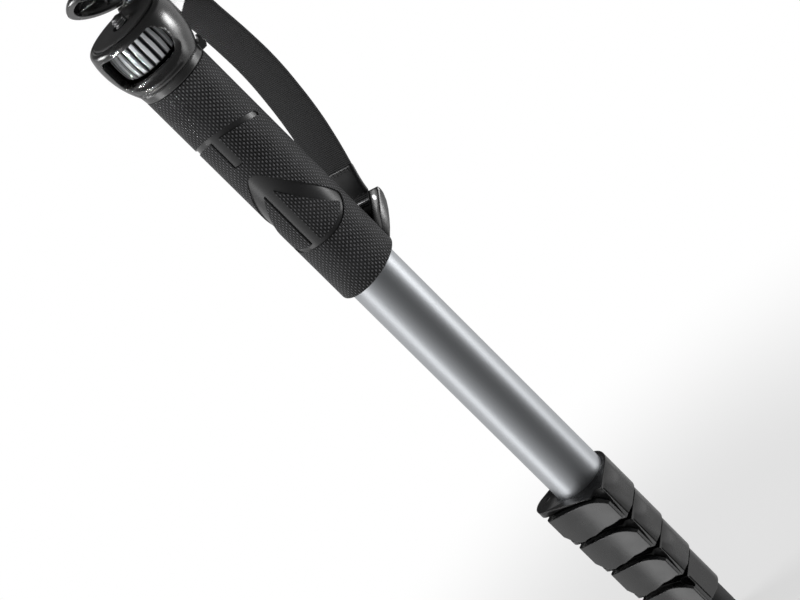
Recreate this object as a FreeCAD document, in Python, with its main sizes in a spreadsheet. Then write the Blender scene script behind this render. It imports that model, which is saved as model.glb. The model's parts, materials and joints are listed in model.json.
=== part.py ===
import FreeCAD, Part
import math
import os
import Sketcher

# Camera monopod of five telescoping sections, closed for carrying.
# The origin is the centre of the foot's bottom face, the column runs up +Z,
# and the thumb wheel's window faces -Y.  Millimetres and degrees.

DRIVING_SIZES = {
    # Column
    "tube_radius": 13.0,
    "tube_step": 1.75,
    "tube_wall": 1.1,
    "tube_end_in_foot": 6.0,
    "inner_tube_top": 364.8,
    "slide_clearance": 0.05,
    "bush_length": 15.0,
    "bush_flange": 1.0,
    # Foot
    "foot_height": 21.7,
    "foot_radius": 10.8,
    "foot_sole_radius": 9.2,
    "foot_groove": 0.9,
    # Flip clamps
    "clamp_base": 22.0,
    "clamp_height": 20.0,
    "clamp_pitch": 20.3,
    "clamp_turn": -34.5,
    "clamp_shrink": 0.06,
    "socket_depth": 9.0,
    "bore_gap": 0.3,
    "liner_height": 2.5,
    "collar_radius": 15.4,
    "sleeve_wall": 1.2,
    "front_face": 17.5,
    "lever_seat": 15.0,
    "pin_side": 15.4,
    "pin_front": 9.0,
    "pin_radius": 1.1,
    "knuckle_radius": 4.0,
    "swing_radius": 9.0,
    "lug_radius": 6.0,
    "knuckle_gap": 0.3,
    "knuckle_base": 2.2,
    "knuckle_top": 16.3,
    "lever_gap": 0.25,
    "lever_end": 15.6,
    "top_plate": 1.2,
    "nose_notch": 12.4,
    "skirt_side": 14.6,
    "shoe_width": 6.0,
    "shoe_base": 2.6,
    "shoe_height": 5.6,
    "shoe_gap": 0.15,
    # Grip
    "grip_base": 242.0,
    "grip_top": 364.5,
    "grip_radius": 16.2,
    "grip_relief": 0.7,
    "grip_end_level": 244.3,
    "grip_end_rise": 2.2,
    "grip_end_turn": 40.0,
    "band_height": 331.0,
    "band_tilt": 17.1,
    "band_turn": 65.0,
    "band_width": 4.4,
    "mark_turn": -10.0,
    "bar_top": 335.0,
    "bar_foot": 320.4,
    "arrow_tip": 315.0,
    "arrow_foot": 270.5,
    # Head
    "head_base": 368.4,
    "head_height": 27.6,
    "head_socket": 4.0,
    "clip_room": 6.2,
    "lug_turn": 107.0,
    "plate_radius": 17.0,
    "plate_thickness": 2.0,
    "pad_thickness": 1.6,
    "pad_radius": 16.4,
    "cavity_radius": 15.6,
    "cavity_floor": 7.6,
    "cavity_height": 17.0,
    "window_height": 16.3,
    "window_left": 15.5,
    "window_corner": 2.5,
    "window_right": 11.4,
    "window_bow": 10.3,
    "scoop_foot": 2.2,
    "scoop_radius": 17.5,
    "scoop_turn": -96.0,
    "scoop_sweep": 88.0,
    "wheel_radius": 14.4,
    "wheel_height": 15.4,
    "wheel_ribs": 26,
    "screw_radius": 3.175,
    "screw_reach": 3.7,
    "screw_neck": 2.6,
    "spindle_radius": 2.5,
    # Screw cover
    "cover_radius": 17.0,
    "cover_rise": 7.0,
    "cover_lift": 0.8,
    "cover_shoulder": 12.6,
    "cover_crown": 1.5,
    "cover_wall": 1.3,
    "cover_lip": 3.0,
    "cover_open": 39.0,
    "cover_turn": 166.0,
    "hinge_reach": 18.0,
    "hinge_pin_radius": 0.7,
    "hinge_knuckle": 1.35,
    "hinge_length": 14.0,
    "tongue_width": 7.6,
    # Wrist strap
    "strap_turn": 151.0,
    "strap_width": 21.0,
    "strap_thickness": 1.5,
    "anchor_pin_reach": 20.6,
    "anchor_pin_height": 262.5,
    "bar_reach": 25.2,
    "bar_height": 385.5,
    "bar_radius": 1.25,
}


class Size:
    """A length with the sheet expression that gives it, so that sums of sizes stay bound to the sheet."""

    def __init__(self, value, text):
        self.value = float(value)
        self.text = text

    @staticmethod
    def of(thing):
        return thing if isinstance(thing, Size) else Size(thing, "(%.6g)" % thing)

    def __add__(self, other):
        other = Size.of(other)
        return Size(self.value + other.value, "(%s + %s)" % (self.text, other.text))

    def __sub__(self, other):
        other = Size.of(other)
        return Size(self.value - other.value, "(%s - %s)" % (self.text, other.text))

    def __mul__(self, other):
        other = Size.of(other)
        return Size(self.value * other.value, "(%s * %s)" % (self.text, other.text))

    def __truediv__(self, other):
        other = Size.of(other)
        return Size(self.value / other.value, "(%s / %s)" % (self.text, other.text))

    def __neg__(self):
        return Size(-self.value, "(0 - %s)" % self.text)

    def __radd__(self, other):
        return Size.of(other) + self

    def __rsub__(self, other):
        return Size.of(other) - self

    def __rmul__(self, other):
        return Size.of(other) * self


doc = FreeCAD.newDocument("monopod")
sheet = doc.addObject("Spreadsheet::Sheet", "Sizes")
for row, (word, number) in enumerate(DRIVING_SIZES.items(), start=1):
    sheet.set("A%d" % row, word)
    sheet.set("B%d" % row, str(number))
    sheet.setAlias("B%d" % row, word)
doc.recompute()


def size(word):
    return Size(DRIVING_SIZES[word], "Sizes." + word)


ORIGIN = -1
X_AXIS = -1
Y_AXIS = -2
START = 1
END = 2
CENTRE = 3
NEARLY_NOTHING = 1e-6
sub_parts = []


def new_body(label, height=0.0, turn=0.0):
    """A body named for its piece, raised along the column and turned about it."""
    body = doc.addObject("PartDesign::Body", label)
    body.Label = label
    height = Size.of(height)
    turn = Size.of(turn)
    rotation = FreeCAD.Rotation(FreeCAD.Vector(0, 0, 1), turn.value)
    body.Placement = FreeCAD.Placement(FreeCAD.Vector(0, 0, height.value), rotation)
    body.setExpression("Placement.Base.z", height.text)
    sub_parts.append(body)
    return body


def new_sketch(body, name, plane="XY_Plane", offset=0.0, turn=0.0):
    """A sketch on one of the body's own planes, moved along its normal or turned about the column."""
    sketch = body.newObject("Sketcher::SketchObject", body.Label + "_" + name)
    origin_plane = next(f for f in body.Origin.OriginFeatures if f.Role == plane)
    sketch.AttachmentSupport = (origin_plane, "")
    sketch.MapMode = "FlatFace"
    offset = Size.of(offset)
    column = FreeCAD.Vector(0, 0, 1) if plane == "XY_Plane" else FreeCAD.Vector(0, 1, 0)
    rotation = FreeCAD.Rotation(column, turn)
    sketch.AttachmentOffset = FreeCAD.Placement(FreeCAD.Vector(0, 0, offset.value), rotation)
    sketch.setExpression("AttachmentOffset.Base.z", offset.text)
    return sketch


def hold_point(sketch, geometry, position, x, y):
    """Ties a sketch point to its two sizes."""
    x = Size.of(x)
    y = Size.of(y)
    if abs(x.value) < NEARLY_NOTHING:
        sketch.addConstraint(Sketcher.Constraint("PointOnObject", geometry, position, Y_AXIS))
    else:
        index = sketch.addConstraint(
            Sketcher.Constraint("DistanceX", ORIGIN, START, geometry, position, x.value))
        sketch.setExpression("Constraints[%d]" % index, x.text)
    if abs(y.value) < NEARLY_NOTHING:
        sketch.addConstraint(Sketcher.Constraint("PointOnObject", geometry, position, X_AXIS))
    else:
        index = sketch.addConstraint(
            Sketcher.Constraint("DistanceY", ORIGIN, START, geometry, position, y.value))
        sketch.setExpression("Constraints[%d]" % index, y.text)


def bow(start, end, radius):
    """The arc from start to end; a positive radius bows it to the right of the way along it."""
    chord = end - start
    middle = (start + end) * 0.5
    left = FreeCAD.Vector(-chord.y, chord.x, 0)
    left.normalize()
    depth = math.sqrt(radius * radius - chord.Length * chord.Length / 4)
    side = 1 if radius > 0 else -1
    centre = middle + left * (side * depth)
    first, last = (start, end) if radius > 0 else (end, start)
    circle = Part.Circle(centre, FreeCAD.Vector(0, 0, 1), abs(radius))
    return Part.ArcOfCircle(circle, circle.parameter(first), circle.parameter(last))


def outline(sketch, corners):
    """A closed outline.  A corner is (x, y), or (x, y, radius) where the side after it is an arc."""
    spots = [FreeCAD.Vector(Size.of(c[0]).value, Size.of(c[1]).value, 0) for c in corners]
    sides = []
    for index, corner in enumerate(corners):
        start = spots[index]
        end = spots[(index + 1) % len(spots)]
        if len(corner) == 3:
            radius = Size.of(corner[2])
            side = sketch.addGeometry(bow(start, end, radius.value), False)
            rule = sketch.addConstraint(Sketcher.Constraint("Radius", side, abs(radius.value)))
            sketch.setExpression("Constraints[%d]" % rule, "abs(%s)" % radius.text)
            sides.append((side, START, END) if radius.value > 0 else (side, END, START))
        else:
            sides.append((sketch.addGeometry(Part.LineSegment(start, end), False), START, END))
    for index, (side, first, last) in enumerate(sides):
        following = sides[(index + 1) % len(sides)]
        sketch.addConstraint(Sketcher.Constraint("Coincident", side, last, following[0], following[1]))
        hold_point(sketch, side, first, corners[index][0], corners[index][1])


def circle(sketch, x, y, radius):
    x, y, radius = Size.of(x), Size.of(y), Size.of(radius)
    centre = FreeCAD.Vector(x.value, y.value, 0)
    ring = sketch.addGeometry(Part.Circle(centre, FreeCAD.Vector(0, 0, 1), radius.value), False)
    if abs(x.value) < NEARLY_NOTHING and abs(y.value) < NEARLY_NOTHING:
        sketch.addConstraint(Sketcher.Constraint("Coincident", ring, CENTRE, ORIGIN, START))
    else:
        hold_point(sketch, ring, CENTRE, x, y)
    rule = sketch.addConstraint(Sketcher.Constraint("Radius", ring, radius.value))
    sketch.setExpression("Constraints[%d]" % rule, radius.text)


def revolve(body, sketch, kind="PartDesign::Revolution", name="turned"):
    feature = body.newObject(kind, body.Label + "_" + name)
    feature.Profile = sketch
    feature.ReferenceAxis = (sketch, ["V_Axis"])
    feature.Angle = 360
    sketch.Visibility = False
    return feature


def extrude(body, sketch, length, kind="PartDesign::Pad", name="pad", back=False, both=False):
    length = Size.of(length)
    feature = body.newObject(kind, body.Label + "_" + name)
    feature.Profile = sketch
    feature.Length = length.value
    feature.setExpression("Length", length.text)
    feature.Reversed = back
    if both:
        feature.SideType = "Symmetric"
    return feature


def cut(body, sketch, length, name, back=False, both=False):
    return extrude(body, sketch, length, "PartDesign::Pocket", name, back, both)


def turned_piece(label, corners, height=0.0, turn=0.0):
    """A piece of revolution about the column, from its half section (radius, height)."""
    body = new_body(label, height, turn)
    sketch = new_sketch(body, "section", "XZ_Plane")
    outline(sketch, corners)
    revolve(body, sketch)
    return body


def ring_piece(label, inner, outer, base, height):
    return turned_piece(label, [(inner, 0), (outer, 0), (outer, height), (inner, height)], base)


def scaled(corners, scale):
    return [tuple(scale * value for value in corner) for corner in corners]


def tube_radius(number):
    """Outer radius of a section's tube; section 1 is the largest."""
    return size("tube_radius") - (number - 1) * size("tube_step")


def bore_radius(number):
    return tube_radius(number) - size("tube_wall")


def clamp_floor(number):
    """Height of the bottom of the clamp on the lower end of a section; clamp 4 is the lowest."""
    return size("clamp_base") + (4 - number) * size("clamp_pitch")


def clamp_scale(number):
    return 1 - (number - 1) * size("clamp_shrink")


# Tubes, each one standing in the clamp on its lower end, and the lowest in the foot
def make_tubes():
    for number in range(1, 6):
        if number < 5:
            base = clamp_floor(number) + size("clamp_height") - size("socket_depth")
        else:
            base = size("tube_end_in_foot")
        top = size("inner_tube_top")
        if number == 1:
            top = size("head_base") + size("head_socket")
        ring_piece("tube_%d" % number, bore_radius(number), tube_radius(number), base, top - base)


# Guide bushes: a sleeve round the top end of each inner tube, with a flange over the tube's end
def make_guide_bushes():
    for number in range(2, 6):
        outer = bore_radius(number - 1) - size("slide_clearance")
        turned_piece("guide_bush_%d" % number, [
            (tube_radius(number), 0),
            (outer, 0),
            (outer, size("bush_length") + size("bush_flange")),
            (bore_radius(number), size("bush_length") + size("bush_flange")),
            (bore_radius(number), size("bush_length")),
            (tube_radius(number), size("bush_length")),
        ], size("inner_tube_top") - size("bush_length"))


# Corners of the clamp in plan for the largest clamp: the flat front is -Y, the lever's pin at -X
FRONT_LEFT = (-14.0, -17.5)
FRONT_RIGHT = (19.8, -17.5)
NOSE = (22.8, -15.5)
RIGHT_TANGENT = (14.3, 5.72)
LEFT_TANGENT = (-13.87, 6.7)
EAR_BACK = (-20.6, -7.2)
EAR_RADIUS = 7.4
# Upper and lower edge of the lever seen from the front, and the upper edge of its seat,
# which stands higher on the left, where the lever's rising edge passes as it swings
LEVER_TOP = [(-21.0, 16.3), (-13.0, 16.5, -120.0), (12.0, 19.7, -14.0), (23.6, 14.2)]
SEAT_TOP = [(24.0, 20.4), (-2.0, 20.4), (-13.0, 18.2), (-21.0, 17.9)]
LEVER_BOTTOM = [
    (-21.0, 7.2), (-15.8, 6.9), (-13.0, 4.6), (-9.9, 1.7), (-4.5, 0.9, -20.0), (4.0, 2.6), (12.2, 4.7, 30.0),
    (21.3, 5.6), (24.0, 5.4),
]
# Notch at the collar's upper nose corner seen from the front, its skirt seen from the side, which
# rises towards the nose, and the groove between the nose and the side wall in plan
NOSE_NOTCH = [(17.2, 22.0), (17.2, 17.4), (20.4, 14.4), (25.0, 14.4), (25.0, 22.0)]
SKIRT = [(-20.0, -1.0), (5.0, -1.0), (-20.0, 4.8)]
WALL_GROOVE = [(19.6, -10.9), (22.2, -10.6), (22.6, -11.6), (20.0, -11.9)]


def make_clamp_collar(number):
    scale = clamp_scale(number)
    body = new_body("clamp_collar_%d" % number, clamp_floor(number), size("clamp_turn"))
    crown = size("top_plate") if number == 1 else Size.of(0)
    full = size("clamp_height") + crown
    plan = new_sketch(body, "plan")
    outline(plan, scaled([
        FRONT_LEFT,
        FRONT_RIGHT,
        NOSE,
        RIGHT_TANGENT + (size("collar_radius"),),
        LEFT_TANGENT,
        EAR_BACK + (EAR_RADIUS,),
    ], scale))
    extrude(body, plan, full)
    pin_x = -scale * size("pin_side")
    pin_y = -scale * size("pin_front")

    # The lever's seat in the front face, open below
    seat = new_sketch(body, "seat_outline", "XZ_Plane", scale * size("front_face") + 1)
    upper = [(scale * c[0],) + tuple(c[1:]) for c in SEAT_TOP]
    outline(seat, [(scale * -21.0, -1.0), (scale * 24.0, -1.0)] + upper)
    cut(body, seat, scale * (size("front_face") - size("lever_seat")) + 1, "seat", back=False)
    notch = new_sketch(body, "notch_outline", "XZ_Plane", scale * size("front_face") + 1)
    outline(notch, [(scale * c[0], c[1]) for c in NOSE_NOTCH])
    cut(body, notch, scale * (size("front_face") - size("nose_notch")) + 1, "nose_notch", back=False)
    skirt = new_sketch(body, "skirt_outline", "YZ_Plane", scale * size("skirt_side"))
    outline(skirt, [(scale * c[0], c[1]) for c in SKIRT])
    cut(body, skirt, size("skirt_side"), "skirt", back=True)

    # Room for the lever's knuckle and its swing between the two lugs of the ear
    swing = new_sketch(body, "swing_outline", "XY_Plane", size("knuckle_base") - size("knuckle_gap"))
    circle(swing, pin_x, pin_y, scale * size("swing_radius"))
    height = size("knuckle_top") - size("knuckle_base") + 2 * size("knuckle_gap")
    cut(body, swing, height, "swing", back=True)

    # The lower lug is trimmed to a round end, which the lever's heel passes
    heel = new_sketch(body, "heel_outline")
    lug = scale * size("lug_radius")
    clear = scale * 2 * size("lug_radius")
    outline(heel, [
        (pin_x, pin_y - lug, -lug),
        (pin_x - lug, pin_y),
        (pin_x - clear, pin_y),
        (pin_x - clear, pin_y - clear),
        (pin_x, pin_y - clear),
    ])
    cut(body, heel, size("knuckle_base"), "heel", back=True)

    # The sleeve that holds the tube runs on through that room
    sleeve = new_sketch(body, "sleeve_outline")
    circle(sleeve, 0, 0, tube_radius(number) + size("sleeve_wall"))
    extrude(body, sleeve, full, name="sleeve")

    knuckle = new_sketch(body, "knuckle_outline", "XY_Plane", size("knuckle_base") - size("knuckle_gap"))
    circle(knuckle, pin_x, pin_y, scale * size("knuckle_radius") + size("knuckle_gap"))
    cut(body, knuckle, height, "knuckle_room", back=True)

    # Socket for this section's tube, seat of the liner, and bore for the next tube
    socket = new_sketch(body, "socket_outline", "XY_Plane", full)
    circle(socket, 0, 0, tube_radius(number))
    cut(body, socket, size("socket_depth") + size("liner_height") + crown, "socket")
    bore = new_sketch(body, "bore_outline", "XY_Plane", full)
    circle(bore, 0, 0, tube_radius(number + 1) + size("bore_gap"))
    cut(body, bore, full, "bore")

    # Window for the brake shoe, from the bore out to the lever's knuckle
    reach = math.hypot(DRIVING_SIZES["pin_side"], DRIVING_SIZES["pin_front"])
    along = (-DRIVING_SIZES["pin_side"] / reach, -DRIVING_SIZES["pin_front"] / reach)
    across = (-along[1], along[0])
    half = DRIVING_SIZES["shoe_width"] / 2 + DRIVING_SIZES["shoe_gap"]
    near = 5.0
    far = 15.0
    window = new_sketch(body, "window_outline", "XY_Plane", size("shoe_base") - size("shoe_gap"))
    outline(window, [
        (scale * near * along[0] - half * across[0], scale * near * along[1] - half * across[1]),
        (scale * far * along[0] - half * across[0], scale * far * along[1] - half * across[1]),
        (scale * far * along[0] + half * across[0], scale * far * along[1] + half * across[1]),
        (scale * near * along[0] + half * across[0], scale * near * along[1] + half * across[1]),
    ])
    cut(body, window, size("shoe_height") + 2 * size("shoe_gap"), "shoe_window", back=True)

    # Hole for the lever's pin, and the two grooves beside the nose
    hole = new_sketch(body, "pin_hole_outline", "XY_Plane", full)
    circle(hole, pin_x, pin_y, size("pin_radius"))
    cut(body, hole, full, "pin_hole")
    groove = new_sketch(body, "groove_outline", "XY_Plane", full - 1.2)
    outline(groove, scaled(WALL_GROOVE, scale))
    cut(body, groove, full, "panel_groove")


def make_clamp_lever(number):
    scale = clamp_scale(number)
    body = new_body("clamp_lever_%d" % number, clamp_floor(number), size("clamp_turn"))
    gap = size("lever_gap")
    seat = scale * size("lever_seat") + gap
    face = new_sketch(body, "face_outline")
    outline(face, [
        (scale * -size("lever_end"), -scale * 17.4),
        (scale * -14.4, -scale * 18.6, scale * 84.0),
        (scale * 22.9, -scale * 16.9),
        (scale * 22.9, -seat),
        (scale * -size("lever_end"), -seat),
    ])
    extrude(body, face, size("clamp_height"), name="face")

    # Upper and lower edges, cut square to the face
    above = new_sketch(body, "above_outline", "XZ_Plane")
    top = [(scale * c[0],) + tuple(c[1:]) for c in LEVER_TOP]
    outline(above, top + [(scale * 24.0, 22.0), (scale * -21.0, 22.0)])
    cut(body, above, scale * 25.0, "top_edge", back=True)
    below = new_sketch(body, "below_outline", "XZ_Plane")
    foot = [(scale * c[0],) + tuple(c[1:]) for c in LEVER_BOTTOM]
    outline(below, foot + [(scale * 24.0, -2.0), (scale * -21.0, -2.0)])
    cut(body, below, scale * 25.0, "bottom_edge", back=True)

    # Knuckle round the pin and the arm that joins it to the face
    arm = new_sketch(body, "arm_outline", "XY_Plane", size("knuckle_base"))
    pin_x = -scale * size("pin_side")
    pin_y = -scale * size("pin_front")
    knuckle = scale * size("knuckle_radius")
    outline(arm, [
        (scale * -size("lever_end"), -seat - 0.4),
        (pin_x + knuckle, -seat - 0.4),
        (pin_x + knuckle, pin_y, knuckle),
        (pin_x, pin_y + knuckle, knuckle),
        (pin_x - knuckle * math.sin(math.radians(60)), pin_y - knuckle * math.cos(math.radians(60))),
    ])
    extrude(body, arm, size("knuckle_top") - size("knuckle_base"), name="arm")
    hole = new_sketch(body, "pin_hole_outline", "XY_Plane", size("clamp_height"))
    circle(hole, pin_x, pin_y, size("pin_radius") + 0.05)
    cut(body, hole, size("clamp_height"), "pin_hole")


def make_lever_pin(number):
    scale = clamp_scale(number)
    body = new_body("lever_pin_%d" % number, clamp_floor(number), size("clamp_turn"))
    end = new_sketch(body, "end")
    circle(end, -scale * size("pin_side"), -scale * size("pin_front"), size("pin_radius"))
    extrude(body, end, size("clamp_height") - 0.4 + (size("top_plate") if number == 1 else 0))


# Brake shoe: a block between the lever's knuckle and the next tube, hollowed to the tube's radius
def make_brake_shoe(number):
    scale = clamp_scale(number)
    reach = math.hypot(DRIVING_SIZES["pin_side"], DRIVING_SIZES["pin_front"])
    lean = math.degrees(math.atan2(-DRIVING_SIZES["pin_front"], -DRIVING_SIZES["pin_side"]))
    body = new_body("brake_shoe_%d" % number, clamp_floor(number) + size("shoe_base"),
                    size("clamp_turn") + lean)
    block = new_sketch(body, "plan")
    outer = scale * (reach - size("knuckle_radius")) - 0.1
    half = size("shoe_width") / 2
    outline(block, [(5.0, -half), (outer, -half), (outer, half), (5.0, half)])
    extrude(body, block, size("shoe_height"))
    hollow = new_sketch(body, "hollow_outline", "XY_Plane", size("shoe_height"))
    circle(hollow, 0, 0, tube_radius(number + 1) + size("slide_clearance"))
    cut(body, hollow, size("shoe_height"), "hollow")


def make_clamps():
    for number in range(1, 5):
        make_clamp_collar(number)
        make_clamp_lever(number)
        make_lever_pin(number)
        make_brake_shoe(number)
        liner_base = (clamp_floor(number) + size("clamp_height")
                      - size("socket_depth") - size("liner_height"))
        ring_piece("clamp_liner_%d" % number, tube_radius(number + 1) + size("slide_clearance"),
                   tube_radius(number), liner_base, size("liner_height"))


# Foot: a rubber shoe with a grooved sole, over a plug that closes the lowest tube
def make_foot():
    foot = size("foot_radius")
    sole = size("foot_sole_radius")
    top = size("foot_height")
    tube = tube_radius(5)
    groove = size("foot_groove")
    turned_piece("rubber_foot", [
        (0, 0),
        (sole - 4.6, 0),
        (sole - 4.2, groove),
        (sole - 2.8, groove),
        (sole - 2.4, 0),
        (sole, 0, 2.2),
        (foot, 2.0),
        (foot, 6.2),
        (foot - groove, 6.6),
        (foot - groove, 7.6),
        (foot, 8.0),
        (foot, top - 1.2, 1.4),
        (foot - 1.2, top),
        (tube, top),
        (tube, size("tube_end_in_foot")),
        (bore_radius(5), size("tube_end_in_foot")),
        (bore_radius(5), 4.0),
        (0, 4.0),
    ])
    turned_piece("foot_plug", [
        (0, 0),
        (bore_radius(5), 0),
        (bore_radius(5), 10.0),
        (bore_radius(5) - 1.0, 11.0),
        (0, 11.0),
    ], 4.0)


# Grip: a rubber sleeve with smooth raised marks on its fine knurl
def make_grip():
    tall = size("grip_top") - size("grip_base")
    radius = size("grip_radius")
    raised = radius + size("grip_relief")
    inner = size("tube_radius")
    lip = 0.8
    body = turned_piece("grip", [
        (inner, 0),
        (radius - lip, 0, 1.2),
        (radius, lip),
        (radius, tall - lip),
        (radius - lip, tall),
        (inner, tall),
    ], size("grip_base"))

    # A band round the grip, tilted a little, made as a slab that is trimmed to the raised radius
    band = new_sketch(body, "band_outline", "XZ_Plane", turn=DRIVING_SIZES["band_turn"])
    middle = size("band_height") - size("grip_base")
    half = size("band_width") / 2
    slope = size("grip_radius") * math.tan(math.radians(DRIVING_SIZES["band_tilt"]))
    outline(band, [
        (-1.1 * radius, middle - half + 1.1 * slope),
        (1.1 * radius, middle - half - 1.1 * slope),
        (1.1 * radius, middle + half - 1.1 * slope),
        (-1.1 * radius, middle + half + 1.1 * slope),
    ])
    extrude(body, band, 2.2 * radius, name="band", both=True)

    # A short bar below the band, and a rounded arrowhead with a bar down its middle
    bar = new_sketch(body, "bar_outline", "XZ_Plane", turn=DRIVING_SIZES["mark_turn"])
    bar_half = 2.35
    bar_foot = size("bar_foot") - size("grip_base")
    bar_top = size("bar_top") - size("grip_base")
    outline(bar, [(-bar_half, bar_foot), (bar_half, bar_foot), (bar_half, bar_top), (-bar_half, bar_top)])
    extrude(body, bar, 2 * radius, name="bar")

    tip = size("arrow_tip") - size("grip_base")
    foot = size("arrow_foot") - size("grip_base")
    reach = 15.9
    arrow = new_sketch(body, "arrow_outline", "XZ_Plane", turn=DRIVING_SIZES["mark_turn"])
    outline(arrow, [
        (-reach, foot + 8.0),
        (-14.6, foot + 2.0),
        (-11.0, foot, 90.0),
        (11.0, foot),
        (14.6, foot + 2.0),
        (reach, foot + 8.0),
        (13.4, foot + 22.0),
        (3.2, tip - 3.0, 3.6),
        (-3.2, tip - 3.0),
        (-13.4, foot + 22.0),
    ])
    extrude(body, arrow, 2 * radius, name="arrow")

    # The knurled fields inside the arrowhead lie at the grip's own radius
    ring = new_sketch(body, "ring_outline", "XY_Plane", -1)
    circle(ring, 0, 0, raised)
    circle(ring, 0, 0, 3 * radius)
    cut(body, ring, tall + 2, "trim", back=True)
    for side in (-1, 1):
        field = new_sketch(body, "field_outline_%d" % (side + 2), "XZ_Plane", turn=DRIVING_SIZES["mark_turn"])
        corners = [
            (side * 1.9, foot + 3.1),
            (side * 11.0, foot + 4.0),
            (side * 14.6, foot + 6.6),
            (side * 13.6, foot + 13.0),
            (side * 9.4, foot + 21.0),
            (side * 1.9, tip - 11.6),
        ]
        outline(field, corners if side > 0 else corners[::-1])
        cut(body, field, 2 * radius, "field_%d" % (side + 2), back=True)
    core = new_sketch(body, "core_outline")
    circle(core, 0, 0, radius - 0.02)
    extrude(body, core, tall, name="core")
    hole = new_sketch(body, "hole_outline", "XY_Plane", -1)
    circle(hole, 0, 0, inner)
    cut(body, hole, tall + 2, "hole", back=True)

    # The lower end is cut on a slope, higher below the strap's anchor
    end = new_sketch(body, "end_outline", "XZ_Plane", turn=DRIVING_SIZES["grip_end_turn"])
    level = size("grip_end_level") - size("grip_base")
    rise = 2 * size("grip_end_rise")
    outline(end, [
        (-2 * radius, -8.0),
        (2 * radius, -8.0),
        (2 * radius, level + rise),
        (-2 * radius, level - rise),
    ])
    cut(body, end, 4 * radius, "end", both=True)


def make_head():
    base = size("head_base")
    height = size("head_height")
    floor = size("cavity_floor")
    seat = floor + size("cavity_height")
    plate = size("plate_radius")
    body = new_body("head_housing", base)
    section = new_sketch(body, "section", "XZ_Plane")
    outline(section, [
        (size("tube_radius"), 0),
        (16.6, 0, 40.0),
        (20.8, 17.5, 30.0),
        (20.0, 25.4, 2.7),
        (17.9, height),
        (plate, height),
        (plate, seat),
        (size("cavity_radius"), seat),
        (size("cavity_radius"), floor),
        (size("spindle_radius") + size("slide_clearance"), floor),
        (size("spindle_radius") + size("slide_clearance"), size("clip_room")),
        (5.0, size("clip_room")),
        (5.0, size("head_socket")),
        (size("tube_radius"), size("head_socket")),
    ])
    revolve(body, section)
    turn = DRIVING_SIZES["cover_turn"]
    reach = size("hinge_reach")
    knuckle = size("hinge_knuckle")
    ears = new_sketch(body, "ears_outline", "YZ_Plane", turn=turn)
    outline(ears, [
        (-reach - knuckle, height),
        (-reach - knuckle, height - 3.0),
        (-plate - 0.05, height - 3.0),
        (-plate - 0.05, height - 0.9),
        (-reach + knuckle, height, knuckle),
        (-reach, height + knuckle, knuckle),
    ])
    extrude(body, ears, size("hinge_length"), name="ears", both=True)
    notch = new_sketch(body, "notch_outline", "YZ_Plane", turn=turn)
    outline(notch, [
        (-reach - 6.0, height - 2.0),
        (-reach + 1.8, height - 2.0),
        (-reach + 1.8, height + 4.0),
        (-reach - 6.0, height + 4.0),
    ])
    cut(body, notch, size("tongue_width") + 0.6, "notch", both=True)
    pin_hole = new_sketch(body, "hinge_hole_outline", "YZ_Plane", turn=turn)
    circle(pin_hole, -reach, height, size("hinge_pin_radius"))
    cut(body, pin_hole, size("hinge_length") + 2, "hinge_hole", both=True)

    # Window for the thumb: a rounded slot into the wheel's room
    window = new_sketch(body, "window_outline", "XZ_Plane")
    half = size("window_height") / 2
    level = floor + size("cavity_height") / 2
    left = size("window_left")
    corner = size("window_corner")
    right = size("window_right")
    outline(window, [
        (corner - left, level - half),
        (right, level - half, size("window_bow")),
        (right, level + half),
        (corner - left, level + half, corner),
        (-left, level + half - corner),
        (-left, level - half + corner, corner),
    ])
    cut(body, window, 25.0, "window", back=True)

    # Sloped scoop for the thumb from the window's lower edge down to the housing's foot
    scoop = new_sketch(body, "scoop_section", "XZ_Plane", turn=DRIVING_SIZES["scoop_turn"])
    outline(scoop, [
        (size("cavity_radius") - 0.3, level - half),
        (size("scoop_radius"), size("scoop_foot")),
        (25.0, size("scoop_foot")),
        (25.0, level - half),
    ])
    hollow = revolve(body, scoop, "PartDesign::Groove", "scoop")
    hollow.Angle = DRIVING_SIZES["scoop_sweep"]
    hollow.setExpression("Angle", "Sizes.scoop_sweep")
    hollow.Midplane = True

    ring_piece("platform_plate", size("screw_radius") + 0.15, plate, base + seat, size("plate_thickness"))
    pad_top = size("pad_thickness")
    turned_piece("camera_pad", [
        (4.4, 0),
        (size("pad_radius"), 0),
        (size("pad_radius"), pad_top - 0.5),
        (size("pad_radius") - 0.5, pad_top),
        (4.9, pad_top),
        (4.4, pad_top - 0.5),
    ], base + seat + size("plate_thickness"))

    # Ring under the housing, with the small lug on its side
    ring_tall = base - size("grip_top")
    ring = turned_piece("head_collar", [
        (size("tube_radius"), 0),
        (15.7, 0),
        (16.2, 0.5),
        (16.6, ring_tall),
        (size("tube_radius"), ring_tall),
    ], size("grip_top"))
    lug = new_sketch(ring, "lug_outline", "YZ_Plane", turn=DRIVING_SIZES["lug_turn"])
    outline(lug, [
        (-19.3, 1.4),
        (-18.5, 0.3),
        (-15.0, 0.3),
        (-15.0, ring_tall),
        (-17.6, ring_tall),
        (-18.2, ring_tall + 1.5),
        (-19.0, ring_tall + 1.3, 4.0),
    ])
    extrude(ring, lug, 7.0, name="lug", both=True)

    turned_piece("head_plug", [
        (0, 0),
        (bore_radius(1) - 0.6, 0),
        (bore_radius(1), 0.8),
        (bore_radius(1), 6.0),
        (0, 6.0),
    ], base + size("head_socket") - 6.0)


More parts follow.
